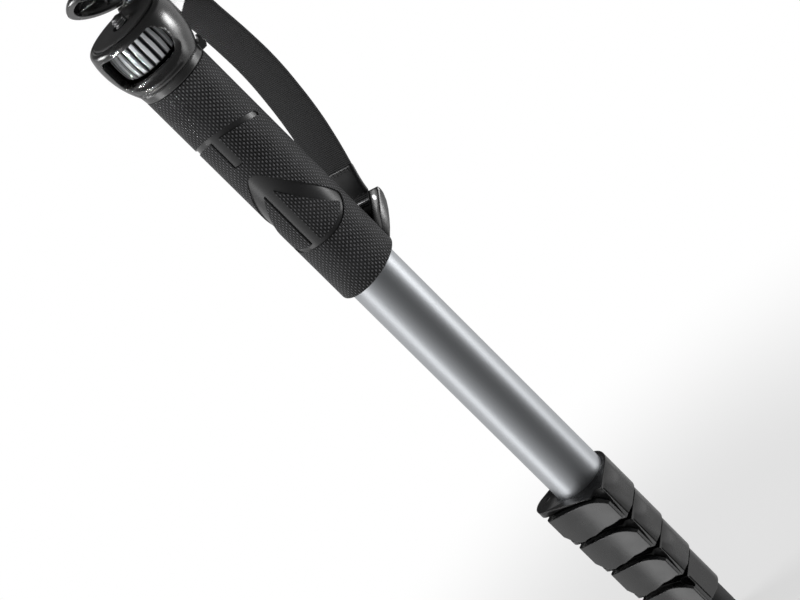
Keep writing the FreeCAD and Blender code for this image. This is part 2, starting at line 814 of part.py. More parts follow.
# Thumb wheel on the camera screw: the screw's shank is its spindle, held below by a clip
def make_thumb_wheel():
    base = size("head_base")
    wheel_base = size("cavity_floor") + 0.6
    radius = size("wheel_radius")
    tall = size("wheel_height")
    bore = size("screw_radius")
    wheel = turned_piece("thumb_wheel", [
        (bore, 0),
        (radius - 1.6, 0, 1.8),
        (radius, 1.6, 30.0),
        (radius, tall - 1.6, 1.8),
        (radius - 1.6, tall),
        (bore, tall),
    ], base + wheel_base)
    valley = new_sketch(wheel, "valley_outline", "XY_Plane", -1)
    circle(valley, radius + 0.15, 0, 0.95)
    first = cut(wheel, valley, tall + 2, "valley", back=True)
    around = wheel.newObject("PartDesign::PolarPattern", "thumb_wheel_valleys")
    around.Originals = [first]
    around.Axis = (valley, ["N_Axis"])
    around.Angle = 360
    around.Occurrences = int(DRIVING_SIZES["wheel_ribs"])
    around.setExpression("Occurrences", "Sizes.wheel_ribs")
    wheel.Tip = around

    spindle = size("spindle_radius")
    clip_floor = size("clip_room") - 1.0
    groove = 0.7
    plate_base = size("cavity_floor") + size("cavity_height")
    top = plate_base + size("plate_thickness") + size("pad_thickness")
    tip = top + size("screw_reach")
    turned_piece("camera_screw", [
        (0, clip_floor - 0.9),
        (spindle, clip_floor - 0.9),
        (spindle, clip_floor),
        (spindle - 0.5, clip_floor),
        (spindle - 0.5, clip_floor + groove),
        (spindle, clip_floor + groove),
        (spindle, wheel_base),
        (bore, wheel_base),
        (bore, plate_base - 0.3),
        (size("screw_neck"), plate_base),
        (size("screw_neck"), top - 0.5),
        (bore, top - 0.2),
        (bore, tip - 0.6),
        (bore - 0.6, tip),
        (0, tip),
    ], base)
    ring_piece("wheel_clip", spindle - 0.5, 4.3, base + clip_floor, groove)
    ring_piece("wheel_washer", spindle + 0.1, 6.5, base + size("cavity_floor"), 0.5)


# Domed cover over the camera screw, drawn from its hinge and shown open
def make_screw_cover():
    reach = size("hinge_reach")
    lift = size("cover_lift")
    knuckle = size("hinge_knuckle")
    rim = size("cover_radius")
    top = lift + size("cover_rise")
    wall = size("cover_wall")
    body = new_body("screw_cover")
    turn = DRIVING_SIZES["cover_turn"]
    upright = FreeCAD.Rotation(FreeCAD.Vector(0, 0, 1), turn)
    tilt = FreeCAD.Rotation(FreeCAD.Vector(1, 0, 0), DRIVING_SIZES["cover_open"])
    height = size("head_base") + size("head_height")
    outward = FreeCAD.Vector(math.sin(math.radians(turn)), -math.cos(math.radians(turn)), 0)
    spot = outward * reach.value
    spot.z = height.value
    body.Placement = FreeCAD.Placement(spot, upright.multiply(tilt))
    body.setExpression("Placement.Base.z", height.text)

    # Both faces of the crown are balls centred on the cover's own axis
    shoulder = size("cover_shoulder")
    crown = size("cover_crown")
    outer_ball = (shoulder * shoulder + crown * crown) / (2 * crown)
    inner_shoulder = shoulder - wall
    inner_ball = (inner_shoulder * inner_shoulder + crown * crown) / (2 * crown)
    dome = new_sketch(body, "dome_section", "XZ_Plane", -reach)
    outline(dome, [
        (0, top - wall, -inner_ball),
        (inner_shoulder, top - wall - crown, -4.4),
        (rim - size("cover_lip"), lift),
        (rim, lift),
        (rim, lift + 1.0, 6.4),
        (shoulder, top - crown, outer_ball),
        (0, top),
    ])
    revolve(body, dome)
    rib = new_sketch(body, "rib_section", "XZ_Plane", -reach)
    outline(rib, [(5.0, 2.4), (13.4, 2.4), (12.2, 4.9), (5.0, 6.7)])
    first = extrude(body, rib, 1.1, name="rib", both=True)
    ribs = body.newObject("PartDesign::PolarPattern", "screw_cover_ribs")
    ribs.Originals = [first]
    ribs.Axis = (rib, ["V_Axis"])
    ribs.Angle = 360
    ribs.Occurrences = 6
    body.Tip = ribs
    tongue = new_sketch(body, "tongue_outline", "YZ_Plane")
    outline(tongue, [
        (0, -knuckle, knuckle),
        (knuckle, 0),
        (knuckle, lift),
        (4.2, lift),
        (4.2, lift + 1.6),
        (0.8, lift + 1.0),
        (0, knuckle, knuckle),
        (-knuckle, 0, knuckle),
    ])
    extrude(body, tongue, size("tongue_width"), name="tongue", both=True)
    hole = new_sketch(body, "hinge_hole_outline", "YZ_Plane")
    circle(hole, 0, 0, size("hinge_pin_radius") + size("slide_clearance"))
    cut(body, hole, size("tongue_width") + 2, "hinge_hole", both=True)
    cross_pin("cover_hinge_pin", turn, reach, height, size("hinge_pin_radius"), size("hinge_length"))


def cross_pin(label, turn, reach, height, radius, length):
    """A pin that lies across the column's radius, at a reach from its axis."""
    body = new_body(label, height)
    end = new_sketch(body, "end", "YZ_Plane", turn=turn)
    circle(end, -reach, 0, radius)
    extrude(body, end, length, both=True)
    return body


def make_strap_fittings():
    turn = DRIVING_SIZES["strap_turn"]
    inside = size("strap_width") + 0.8
    outside = inside + 3.2

    # Bracket on the back of the head: two cheeks on a curved foot, with the strap's bar between
    reach = size("bar_reach")
    level = size("bar_height")
    body = new_body("strap_bracket", level)
    cheek = new_sketch(body, "cheek_outline", "YZ_Plane", turn=turn)
    outline(cheek, [
        (-reach, -2.7),
        (-16.0, -5.0),
        (-16.0, 5.0),
        (-reach, 2.7, 2.7),
        (-reach - 2.7, 0, 2.7),
    ])
    extrude(body, cheek, outside, name="cheeks", both=True)
    gap = new_sketch(body, "gap_outline", "YZ_Plane", turn=turn)
    outline(gap, [(-reach - 6.0, -8.0), (-21.9, -8.0), (-21.9, 8.0), (-reach - 6.0, 8.0)])
    cut(body, gap, inside, "gap", both=True)
    saddle = new_sketch(body, "saddle_outline", "XY_Plane", -8)
    circle(saddle, 0, 0, 20.85)
    cut(body, saddle, 16.0, "saddle", back=True)
    hole = new_sketch(body, "bar_hole_outline", "YZ_Plane", turn=turn)
    circle(hole, -reach, 0, size("bar_radius"))
    cut(body, hole, outside + 2, "bar_hole", both=True)
    cross_pin("strap_bar", turn, reach, level, size("bar_radius"), outside)

    # Hooded anchor at the foot of the grip: a saddle, two cheeks and a smooth outer plate
    reach = size("anchor_pin_reach")
    base = size("grip_base")
    pin_level = size("anchor_pin_height") - base
    body = new_body("strap_anchor", base)
    hood = new_sketch(body, "hood_outline", "YZ_Plane", turn=turn)
    outline(hood, [
        (-16.6, 5.0),
        (-14.0, 5.0),
        (-14.0, 23.0),
        (-18.2, 23.0),
        (-20.4, 24.6),
        (-25.6, 25.4, 1.4),
        (-27.2, 23.6, 30.0),
        (-25.6, 16.2, 30.0),
    ])
    extrude(body, hood, outside, name="hood", both=True)
    room = new_sketch(body, "room_outline", "YZ_Plane", turn=turn)
    outline(room, [
        (-17.35, 16.4),
        (-17.35, 27.0),
        (-25.4, 27.0),
        (-25.4, 22.4),
        (-24.2, 16.4),
    ])
    cut(body, room, inside, "room", both=True)
    saddle = new_sketch(body, "saddle_outline", "XY_Plane", -1)
    circle(saddle, 0, 0, size("grip_radius") + 0.02)
    cut(body, saddle, 30.0, "saddle", back=True)
    hole = new_sketch(body, "pin_hole_outline", "YZ_Plane", turn=turn)
    circle(hole, -reach, pin_level, size("bar_radius"))
    cut(body, hole, outside + 2, "pin_hole", both=True)
    cross_pin("anchor_pin", turn, reach, size("anchor_pin_height"), size("bar_radius"), outside)


# Route of the strap's middle line in its own plane, as (distance from the column's axis, height)
STRAP_ROUTE = [
    (25.4, 387.75), (29.5, 387.9), (33.6, 383.8), (36.2, 376.0), (37.5, 365.0), (39.2, 347.0), (39.5, 333.0),
    (38.8, 318.0), (36.8, 303.0), (33.4, 287.0), (29.6, 277.5), (26.2, 270.8), (23.8, 266.2), (22.85, 262.5),
]
FOLD_ROUTE = STRAP_ROUTE[10:13]


def web(route, thickness, shift=0.0):
    """Flat face of a strap seen from its edge, shifted off the route towards the column."""
    curve = Part.BSplineCurve()
    curve.interpolate([FreeCAD.Vector(x, 0, z) for x, z in route])
    first, last = curve.FirstParameter, curve.LastParameter
    steps = 2 * len(route)
    sides = []
    for offset in (shift - thickness / 2, shift + thickness / 2):
        line = []
        for step in range(steps + 1):
            place = first + (last - first) * step / steps
            along = curve.tangent(place)[0]
            line.append(curve.value(place) + FreeCAD.Vector(along.z, 0, -along.x) * offset)
        side = Part.BSplineCurve()
        side.interpolate(line)
        sides.append(side)
    left, right = sides
    edges = [
        left.toShape(),
        Part.makeLine(left.EndPoint, right.EndPoint),
        right.toShape(),
        Part.makeLine(right.StartPoint, left.StartPoint),
    ]
    return Part.Face(Part.Wire(Part.__sortEdges__(edges)))


def make_wrist_strap():
    width = DRIVING_SIZES["strap_width"]
    thickness = DRIVING_SIZES["strap_thickness"]
    radius = DRIVING_SIZES["bar_radius"]
    way = FreeCAD.Vector(0, 1, 0)
    strip = web(STRAP_ROUTE, thickness)
    edge_view = strip.fuse(web(FOLD_ROUTE, thickness, thickness * 0.98))
    for reach, level in (("bar_reach", "bar_height"), ("anchor_pin_reach", "anchor_pin_height")):
        centre = FreeCAD.Vector(DRIVING_SIZES[reach], 0, DRIVING_SIZES[level])
        eye = Part.Face(Part.Wire(Part.makeCircle(radius + 0.25 + thickness, centre, way)))
        opening = Part.Face(Part.Wire(Part.makeCircle(radius + 0.1, centre, way)))
        edge_view = edge_view.fuse(eye).cut(opening)
    strap = doc.addObject("Part::Feature", "wrist_strap")
    strap.Label = "wrist_strap"
    strap.Shape = edge_view.removeSplitter().Faces[0].extrude(way * width)
    turn = FreeCAD.Rotation(FreeCAD.Vector(0, 0, 1), DRIVING_SIZES["strap_turn"] - 90)
    strap.Placement = FreeCAD.Placement(turn.multVec(way * (-width / 2)), turn)
    sub_parts.append(strap)
    print("wrist strap: width %.1f, route %.1f long" % (width, strip.Area / thickness))


def check_and_write():
    doc.recompute()
    os.makedirs("parts", exist_ok=True)
    for item in doc.Objects:
        if "Invalid" in item.State or "Error" in item.State:
            raise RuntimeError("%s did not build: %s" % (item.Name, item.State))
    for piece in sub_parts:
        if piece.Shape.isNull() or not piece.Shape.isValid():
            raise RuntimeError("%s has no valid shape" % piece.Label)
    for piece in sub_parts:
        piece.Shape.exportStep("parts/%s.step" % piece.Label)
        print("%-18s volume %9.1f  solids %d" % (piece.Label, piece.Shape.Volume, len(piece.Shape.Solids)))


make_tubes()
make_guide_bushes()
make_clamps()
make_foot()
make_grip()
make_head()
make_thumb_wheel()
make_screw_cover()
make_strap_fittings()
make_wrist_strap()
check_and_write()
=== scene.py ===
"""Looks of a closed five-section camera monopod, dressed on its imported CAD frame.

Everything is in metres in the frame's own axes: the origin is the centre of the foot's
bottom face, the column runs up +Z, and the thumb wheel's window faces -Y. Outlines and
routes are in millimetres, as their docstrings say.
"""

import json
import logging
import math
from contextlib import contextmanager
from dataclasses import dataclass
from enum import Enum
from typing import Callable, Iterator, Optional, Sequence, Union

import bmesh
import bpy
from mathutils import Matrix, Vector

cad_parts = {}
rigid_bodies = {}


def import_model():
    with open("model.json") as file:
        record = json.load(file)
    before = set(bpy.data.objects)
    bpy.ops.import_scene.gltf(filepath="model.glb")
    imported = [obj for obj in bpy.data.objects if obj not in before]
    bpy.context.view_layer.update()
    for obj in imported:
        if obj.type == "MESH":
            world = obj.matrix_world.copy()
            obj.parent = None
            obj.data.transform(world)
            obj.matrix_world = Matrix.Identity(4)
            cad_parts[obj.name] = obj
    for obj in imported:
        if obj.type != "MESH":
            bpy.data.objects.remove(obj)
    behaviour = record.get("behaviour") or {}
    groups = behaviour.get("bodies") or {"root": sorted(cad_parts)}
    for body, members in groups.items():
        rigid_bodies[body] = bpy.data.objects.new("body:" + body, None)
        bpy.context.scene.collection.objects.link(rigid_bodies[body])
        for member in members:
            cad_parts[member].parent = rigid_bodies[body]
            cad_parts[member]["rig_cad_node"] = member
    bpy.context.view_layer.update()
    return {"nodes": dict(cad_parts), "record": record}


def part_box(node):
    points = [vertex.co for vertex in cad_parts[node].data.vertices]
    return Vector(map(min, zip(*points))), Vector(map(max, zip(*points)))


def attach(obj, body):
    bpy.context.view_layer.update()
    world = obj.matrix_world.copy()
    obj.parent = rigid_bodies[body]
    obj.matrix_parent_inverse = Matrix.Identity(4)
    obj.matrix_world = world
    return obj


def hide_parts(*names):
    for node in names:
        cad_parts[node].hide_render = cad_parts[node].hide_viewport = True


MM = 0.001
RING_STEPS = 144
LOG = logging.getLogger("monopod")

Triple = tuple[float, float, float]
Corner = tuple[float, float]
Number = Union[int, float]


class Value:
    """A node's output socket that takes part in Python arithmetic by adding Math nodes."""

    def __init__(self, nodes: "Nodes", socket: bpy.types.NodeSocket) -> None:
        """Keeps the node maker and the socket that carries the value."""
        self.nodes = nodes
        self.socket = socket

    def _math(self, operation: str, first: "Operand", second: "Operand" = 0.0) -> "Value":
        """Adds one Math node.

        Args:
            operation: The Math node's operation.
            first: The upper operand.
            second: The lower operand.

        Returns:
            The node's output.
        """
        return self.nodes.add("ShaderNodeMath", {"operation": operation}, {0: first, 1: second})

    def __add__(self, other: "Operand") -> "Value":
        """Sum."""
        return self._math("ADD", self, other)

    def __radd__(self, other: "Operand") -> "Value":
        """Sum with a plain number in front."""
        return self._math("ADD", other, self)

    def __sub__(self, other: "Operand") -> "Value":
        """Difference."""
        return self._math("SUBTRACT", self, other)

    def __rsub__(self, other: "Operand") -> "Value":
        """Difference with a plain number in front."""
        return self._math("SUBTRACT", other, self)

    def __mul__(self, other: "Operand") -> "Value":
        """Product."""
        return self._math("MULTIPLY", self, other)

    def __rmul__(self, other: "Operand") -> "Value":
        """Product with a plain number in front."""
        return self._math("MULTIPLY", other, self)

    def __truediv__(self, other: "Operand") -> "Value":
        """Quotient."""
        return self._math("DIVIDE", self, other)

    def root(self) -> "Value":
        """Square root."""
        return self._math("POWER", self, 0.5)

    def least(self, other: "Operand") -> "Value":
        """Smaller of two values."""
        return self._math("MINIMUM", self, other)

    def most(self, other: "Operand") -> "Value":
        """Larger of two values."""
        return self._math("MAXIMUM", self, other)

    def angle_to(self, other: "Operand") -> "Value":
        """Angle of the point (other, this) round its origin."""
        return self._math("ARCTAN2", self, other)

    def triangle(self, period: Number) -> "Value":
        """A wave that rises from 0 to 1 and falls back once each period."""
        return self._math("PINGPONG", self / period, 0.5) * 2.0

    def eased(self, low: Number, high: Number) -> "Value":
        """This value brought into 0 to 1, with soft ends.

        Args:
            low: What becomes 0.
            high: What becomes 1.

        Returns:
            The share.
        """
        return self.nodes.add(
            "ShaderNodeMapRange",
            {"interpolation_type": "SMOOTHSTEP"},
            {"Value": self, "From Min": low, "From Max": high},
        )


Operand = Union[Value, Number]


class Nodes:
    """The node tree of one material or world, with the one method that adds nodes to it."""

    def __init__(self, name: str, holder: Optional[bpy.types.World] = None) -> None:
        """Empties the tree of a new material, or of the holder that is given.

        Args:
            name: The new material's name.
            holder: A world that is used in place of a new material.
        """
        self.material = holder or bpy.data.materials.new(name)
        self.material.use_nodes = True
        self.tree = self.material.node_tree
        self.tree.nodes.clear()

    def add(
        self,
        kind: str,
        settings: Optional[dict] = None,
        inputs: Optional[dict] = None,
        output: Union[int, str] = 0,
    ) -> Value:
        """Adds a node.

        Args:
            kind: The node's Blender type.
            settings: Its properties, set first.
            inputs: Its input sockets by name or number, each a plain value or a Value to link.
            output: The output to return, by name or number.

        Returns:
            The output, wrapped.
        """
        node = self.tree.nodes.new(kind)
        for word, setting in (settings or {}).items():
            setattr(node, word, setting)
        for name, value in (inputs or {}).items():
            if isinstance(value, Value):
                self.tree.links.new(value.socket, node.inputs[name])
            else:
                node.inputs[name].default_value = value
        return Value(self, node.outputs[output])

    def several(
        self, kind: str, outputs: Sequence[str], inputs: Optional[dict] = None
    ) -> list[Value]:
        """Adds a node of which more than one output is used.

        Args:
            kind: The node's Blender type.
            outputs: The outputs to return, by name.
            inputs: Its input sockets, as add takes them.

        Returns:
            The outputs, wrapped.
        """
        node = self.add(kind, {}, inputs).socket.node
        return [Value(self, node.outputs[name]) for name in outputs]

    def place(self) -> Value:
        """The point on the surface in the frame's axes."""
        return self.add("ShaderNodeTexCoord", output="Object")

    def weave_place(self) -> Value:
        """The point in the piece's own map, which runs along the cloth."""
        return self.add("ShaderNodeUVMap", {"uv_map": "along"}, output="UV")

    def parts(self, vector: Value) -> list[Value]:
        """The three parts of a vector."""
        return self.several("ShaderNodeSeparateXYZ", "XYZ", {0: vector})

    def reach(self, place: Value) -> Value:
        """Distance of a point from the column's axis."""
        x, y, _ = self.parts(place)
        return (x * x + y * y).root()

    def stretched(self, vector: Value, scale: Triple) -> Value:
        """A vector with each part multiplied by a number."""
        return self.add("ShaderNodeMapping", inputs={"Vector": vector, "Scale": scale})

    def noise(self, vector: Value, scale: Number, detail: Number = 2.0) -> Value:
        """Even noise of about 0 to 1.

        Args:
            vector: Where to read it.
            scale: Grains to the metre.
            detail: Octaves of finer grain.

        Returns:
            The noise.
        """
        inputs = {"Vector": vector, "Scale": scale, "Detail": detail}
        return self.add("ShaderNodeTexNoise", {}, inputs, "Fac")

    def tint(
        self, factor: Operand, dark: Union[Triple, Value], light: Union[Triple, Value]
    ) -> Value:
        """A colour between two, each plain or linked.

        Args:
            factor: 0 for the first and 1 for the second.
            dark: The first colour.
            light: The second colour.

        Returns:
            The colour.
        """
        ends = [end if isinstance(end, Value) else (*end, 1.0) for end in (dark, light)]
        inputs = {"Factor": factor, "A": ends[0], "B": ends[1]}
        return self.add("ShaderNodeMix", {"data_type": "RGBA"}, inputs, 2)

    def bump(
        self, height: Value, distance: Number, strength: Number = 1.0, edge: Number = 0.0
    ) -> Value:
        """A normal tipped by a height, over edges that are rounded by a moulding's own radius.

        Args:
            height: The height, 0 to 1.
            distance: The real height of 1, in metres.
            strength: The share of it that is used.
            edge: Radius of the piece's edges in metres.

        Returns:
            The normal.
        """
        inputs = {"Height": height, "Distance": distance, "Strength": strength}
        if edge:
            rounded = self.add("ShaderNodeBevel", {"samples": 6}, {"Radius": edge}, "Normal")
            inputs["Normal"] = rounded
        return self.add("ShaderNodeBump", {}, inputs, "Normal")

    def mix(self, share: Value, first: Value, second: Value) -> Value:
        """A shader between two, by a share of 0 to 1."""
        return self.add("ShaderNodeMixShader", {}, {0: share, 1: first, 2: second}, "Shader")

    def finish(self, shader: Value) -> None:
        """Links a shader to the tree's output."""
        world = isinstance(self.material, bpy.types.World)
        node = self.tree.nodes.new("ShaderNodeOutputWorld" if world else "ShaderNodeOutputMaterial")
        self.tree.links.new(shader.socket, node.inputs["Surface"])


@dataclass(frozen=True)
class Finish:
    """A finish as a shop would name it.

    Args:
        name: The material's name.
        colour: Its main colour.
        roughness: Its mean roughness.
    """

    name: str
    colour: Triple
    roughness: float

    def tones(self, nodes: Nodes, factor: Operand, low: float, high: float) -> Value:
        """The main colour, from one share of its lightness to another.

        Args:
            nodes: The material's nodes.
            factor: 0 for the low share and 1 for the high one.
            low: The low share.
            high: The high share.

        Returns:
            The colour.
        """
        dark, light = (
            tuple(min(1.0, part * share) for part in self.colour) for share in (low, high)
        )
        return nodes.tint(factor, dark, light)

    def sockets(self, nodes: Nodes, place: Value) -> dict[str, object]:
        """What the shader's sockets get.

        Args:
            nodes: The material's nodes.
            place: The point on the surface.

        Returns:
            Plain values and links by the sockets' names.
        """
        raise NotImplementedError

    def build(self) -> bpy.types.Material:
        """Makes the material.

        Returns:
            The material.
        """
        nodes = Nodes(self.name)
        inputs = self.sockets(nodes, nodes.place())
        nodes.finish(nodes.add("ShaderNodeBsdfPrincipled", {}, inputs, "BSDF"))
        return nodes.material


@dataclass(frozen=True)
class MouldedPlastic(Finish):
    """Moulded plastic with a fine spark-eroded grain and softly varied gloss.

    Args:
        edge: Radius of its edges in metres.
        index: Refractive index, which sets how strongly it mirrors.
    """

    edge: float = 0.4 * MM
    index: float = 1.5

    def sockets(self, nodes: Nodes, place: Value) -> dict[str, object]:
        """What the shader's sockets get."""
        wear = nodes.noise(place, scale=90.0, detail=3.0).eased(0.35, 0.75)
        fine = nodes.noise(place, scale=2600.0)
        return {
            "Base Color": self.tones(nodes, wear, 0.82, 1.2),
            "Roughness": self.roughness - 0.05 + wear * 0.1 + (fine - 0.5) * 0.06,
            "IOR": self.index,
            "Specular IOR Level": 0.8,
            "Normal": nodes.bump(fine, distance=0.03 * MM, strength=0.6, edge=self.edge),
        }


@dataclass(frozen=True)
class LeverPlastic(Finish):
    """Satin moulding of the clamp levers, a little rubbed at its grain tips."""

    def sockets(self, nodes: Nodes, place: Value) -> dict[str, object]:
        """What the shader's sockets get."""
        cloud = nodes.noise(place, scale=140.0, detail=3.0).eased(0.3, 0.8)
        fine = nodes.noise(place, scale=3400.0)
        return {
            "Base Color": self.tones(nodes, cloud * 0.5 + fine * 0.5, 0.78, 1.25),
            "Roughness": self.roughness - 0.04 + cloud * 0.08,
            "Specular IOR Level": 0.8,
            "Normal": nodes.bump(fine, distance=0.03 * MM, strength=0.5, edge=0.5 * MM),
        }


@dataclass(frozen=True)
class SatinAnodised(Finish):
    """Satin anodised aluminium with faint drawing lines along the column."""

    def sockets(self, nodes: Nodes, place: Value) -> dict[str, object]:
        """What the shader's sockets get."""
        lines = nodes.noise(nodes.stretched(place, (1.0, 1.0, 0.012)), scale=5200.0, detail=3.0)
        cloud = nodes.noise(place, scale=55.0)
        fine = nodes.noise(place, scale=6000.0, detail=1.0)
        return {
            "Base Color": self.tones(nodes, lines * 0.6 + cloud * 0.4, 0.93, 1.06),
            "Metallic": 1.0,
            "Roughness": self.roughness - 0.04 + lines * 0.06 + fine * 0.03,
            "Normal": nodes.bump(lines * 0.7 + fine * 0.3, distance=0.012 * MM, strength=0.4),
        }


@dataclass(frozen=True)
class KnurledRubber(Finish):
    """Soft black rubber with staggered knurl beads in columns, and smooth marks sunk into it. The
    knurl's colour carries a painted highlight on the beads' tops and painted shade between them.

    Args:
        radius: Radius of the knurled surface in metres.
        sunk: Depth of the marks below it in metres.
        pitch: Distance from one bead to the next, round the grip and along it, in metres.
        depth: Depth of the knurl in metres.
    """

    radius: float = 16.2 * MM
    sunk: float = 0.6 * MM
    pitch: Corner = (2.375 * MM, 2.29 * MM)
    depth: float = 0.55 * MM

    def sockets(self, nodes: Nodes, place: Value) -> dict[str, object]:
        """What the shader's sockets get."""
        x, y, z = nodes.parts(place)
        reach = nodes.reach(place)
        smooth = 1 - reach.eased(self.radius - 0.6 * self.sunk, self.radius - 0.1 * self.sunk)
        teeth = round(2 * math.pi * self.radius / self.pitch[0])
        turn = y.angle_to(x) * (teeth / (2 * math.pi))
        climb = z / self.pitch[1]
        beads = (turn + climb).triangle(1.0).least((turn - climb).triangle(1.0)).eased(0.2, 0.7)
        columns = (turn * 2 + 0.5).triangle(1.0).eased(0.1, 0.8)
        knurl = columns * (beads * 0.85 + 0.15)
        grain = nodes.noise(place, scale=3000.0)
        cloud = nodes.noise(place, scale=60.0).eased(0.3, 0.7)
        # The beads' tops are painted up to eleven times lighter and the valleys between them nearly
        # black: painted highlight and painted shade.
        lit_beads_shaded_valleys = self.tones(nodes, knurl * 0.9 + cloud * 0.1, 0.03, 11.0)
        plain = self.tones(nodes, cloud, 0.9, 1.3)
        height = knurl * (1 - smooth) + grain * 0.04
        return {
            "Base Color": nodes.tint(smooth, lit_beads_shaded_valleys, plain),
            "Roughness": self.roughness + 0.05 - smooth * 0.1 + grain * 0.05,
            "Specular IOR Level": 0.3,
            "Coat Weight": smooth * 0.9,
            "Coat Roughness": 0.28,
            "Normal": nodes.bump(height, distance=self.depth, edge=0.3 * MM),
        }


@dataclass(frozen=True)
class PlainRubber(Finish):
    """Dull moulded rubber with a fine pebble.

    Args:
        pitch: Pebbles to the metre.
    """

    pitch: float = 1500.0

    def sockets(self, nodes: Nodes, place: Value) -> dict[str, object]:
        """What the shader's sockets get."""
        inputs = {"Vector": place, "Scale": self.pitch}
        pebble = nodes.add("ShaderNodeTexVoronoi", {}, inputs, "Distance")
        dust = nodes.noise(place, scale=70.0, detail=3.0).eased(0.45, 0.8)
        return {
            "Base Color": self.tones(nodes, dust, 0.85, 1.5),
            "Roughness": self.roughness + dust * 0.08,
            "Normal": nodes.bump(pebble, distance=0.08 * MM, strength=0.5),
        }


@dataclass(frozen=True)
class Turned(Finish):
    """Turned or drawn metal with fine rings round its own axis."""

    def sockets(self, nodes: Nodes, place: Value) -> dict[str, object]:
        """What the shader's sockets get."""
        rings = nodes.noise(nodes.stretched(place, (0.05, 0.05, 1.0)), scale=3500.0)
        stain = nodes.noise(place, scale=200.0, detail=3.0).eased(0.4, 0.8)
        return {
            "Base Color": self.tones(nodes, stain * 0.6 + rings * 0.4, 0.8, 1.1),
            "Metallic": 1.0,
            "Roughness": self.roughness + stain * 0.1 + rings * 0.05,
            "Normal": nodes.bump(rings, distance=0.01 * MM, strength=0.5),
        }


@dataclass(frozen=True)
class BrightChrome(Finish):
    """Bright plating, with painted shade down in the valleys between the wheel's ribs.

    Args:
        crest: Radius of the ribs' tops in metres.
        valley: Radius of the valleys' floors in metres.
    """

    crest: float = 14.4 * MM
    valley: float = 13.65 * MM

    def sockets(self, nodes: Nodes, place: Value) -> dict[str, object]:
        """What the shader's sockets get."""
        top = nodes.reach(place).eased(self.valley, self.crest)
        ripple = nodes.noise(place, scale=900.0)
        return {
            # The valleys' colour falls to 3% of the plating's: painted shade between the ribs.
            "Base Color": self.tones(nodes, top, 0.03, 1.0),
            "Metallic": 1.0 - top * 0.8,
            "Roughness": self.roughness + (1 - top) * 0.12 + ripple * 0.05,
            "Normal": nodes.bump(ripple, distance=0.02 * MM, strength=0.4, edge=0.3 * MM),
        }


@dataclass(frozen=True)
class PaintedMetal(Finish):
    """Black powder paint with an orange-peel skin."""

    def sockets(self, nodes: Nodes, place: Value) -> dict[str, object]:
        """What the shader's sockets get."""
        peel = nodes.noise(place, scale=1400.0)
        cloud = nodes.noise(place, scale=120.0)
        return {
            "Base Color": self.tones(nodes, cloud, 0.8, 1.3),
            "Roughness": self.roughness + cloud * 0.08,
            "Normal": nodes.bump(peel, distance=0.03 * MM, strength=0.5),
        }


@dataclass(frozen=True)
class Webbing(Finish):
    """Woven nylon webbing with fine cross ribs, read from the strap's own map in metres; its colour
    is lighter on the ribs' tops and darker in the hollows between them, as painted highlight and
    painted shade.

    Args:
        rib: Distance from one cross rib to the next in metres.
        yarn: Distance from one warp yarn to the next in metres.
    """

    rib: float = 0.85 * MM
    yarn: float = 1.3 * MM

    def sockets(self, nodes: Nodes, place: Value) -> dict[str, object]:
        """What the shader's sockets get."""
        across, along, _ = nodes.parts(nodes.weave_place())
        fuzz = nodes.noise(place, scale=5000.0)
        wander = nodes.noise(place, scale=500.0) - 0.5
        rib = (along + wander * (0.2 * self.rib)).triangle(self.rib).eased(0.05, 0.8)
        yarn = (across + along * 0.5).triangle(self.yarn).eased(0.0, 0.7)
        height = rib * 0.7 + yarn * rib * 0.3 + fuzz * 0.15
        return {
            # Colour follows the weave's height: painted highlight on the ribs' tops, painted shade
            # in the hollows.
            "Base Color": self.tones(nodes, height, 0.2, 2.4),
            "Roughness": self.roughness + fuzz * 0.1,
            "Sheen Weight": 0.25,
            "Sheen Roughness": 0.4,
            "Normal": nodes.bump(height, distance=0.22 * MM, strength=0.9),
        }


@dataclass(frozen=True)
class Thread(Finish):
    """Bonded sewing thread."""

    def sockets(self, nodes: Nodes, place: Value) -> dict[str, object]:
        """What the shader's sockets get."""
        twist = nodes.noise(place, scale=4500.0, detail=1.0)
        return {
            "Base Color": self.tones(nodes, twist, 0.6, 1.6),
            "Roughness": self.roughness,
            "Normal": nodes.bump(twist, distance=0.05 * MM, strength=0.6),
        }


class Slot(Enum):
    """The record's material slots that the dressed pieces take their finish from."""

    TUBE = "tube_metal"
    ACETAL = "acetal"
    CLAMP = "clamp_black"
    LEVER = "lever_grey"
    STEEL = "pin_steel"
    FOOT = "foot_rubber"
    GRIP = "grip_rubber"
    HEAD = "head_black"
    PLATE = "plate_black"
    PAD = "pad_rubber"
    CHROME = "wheel_chrome"
    WEBBING = "webbing"


CLAMP_BLACK: Triple = (0.005, 0.005, 0.0054)
HEAD_BLACK: Triple = (0.004, 0.004, 0.0043)

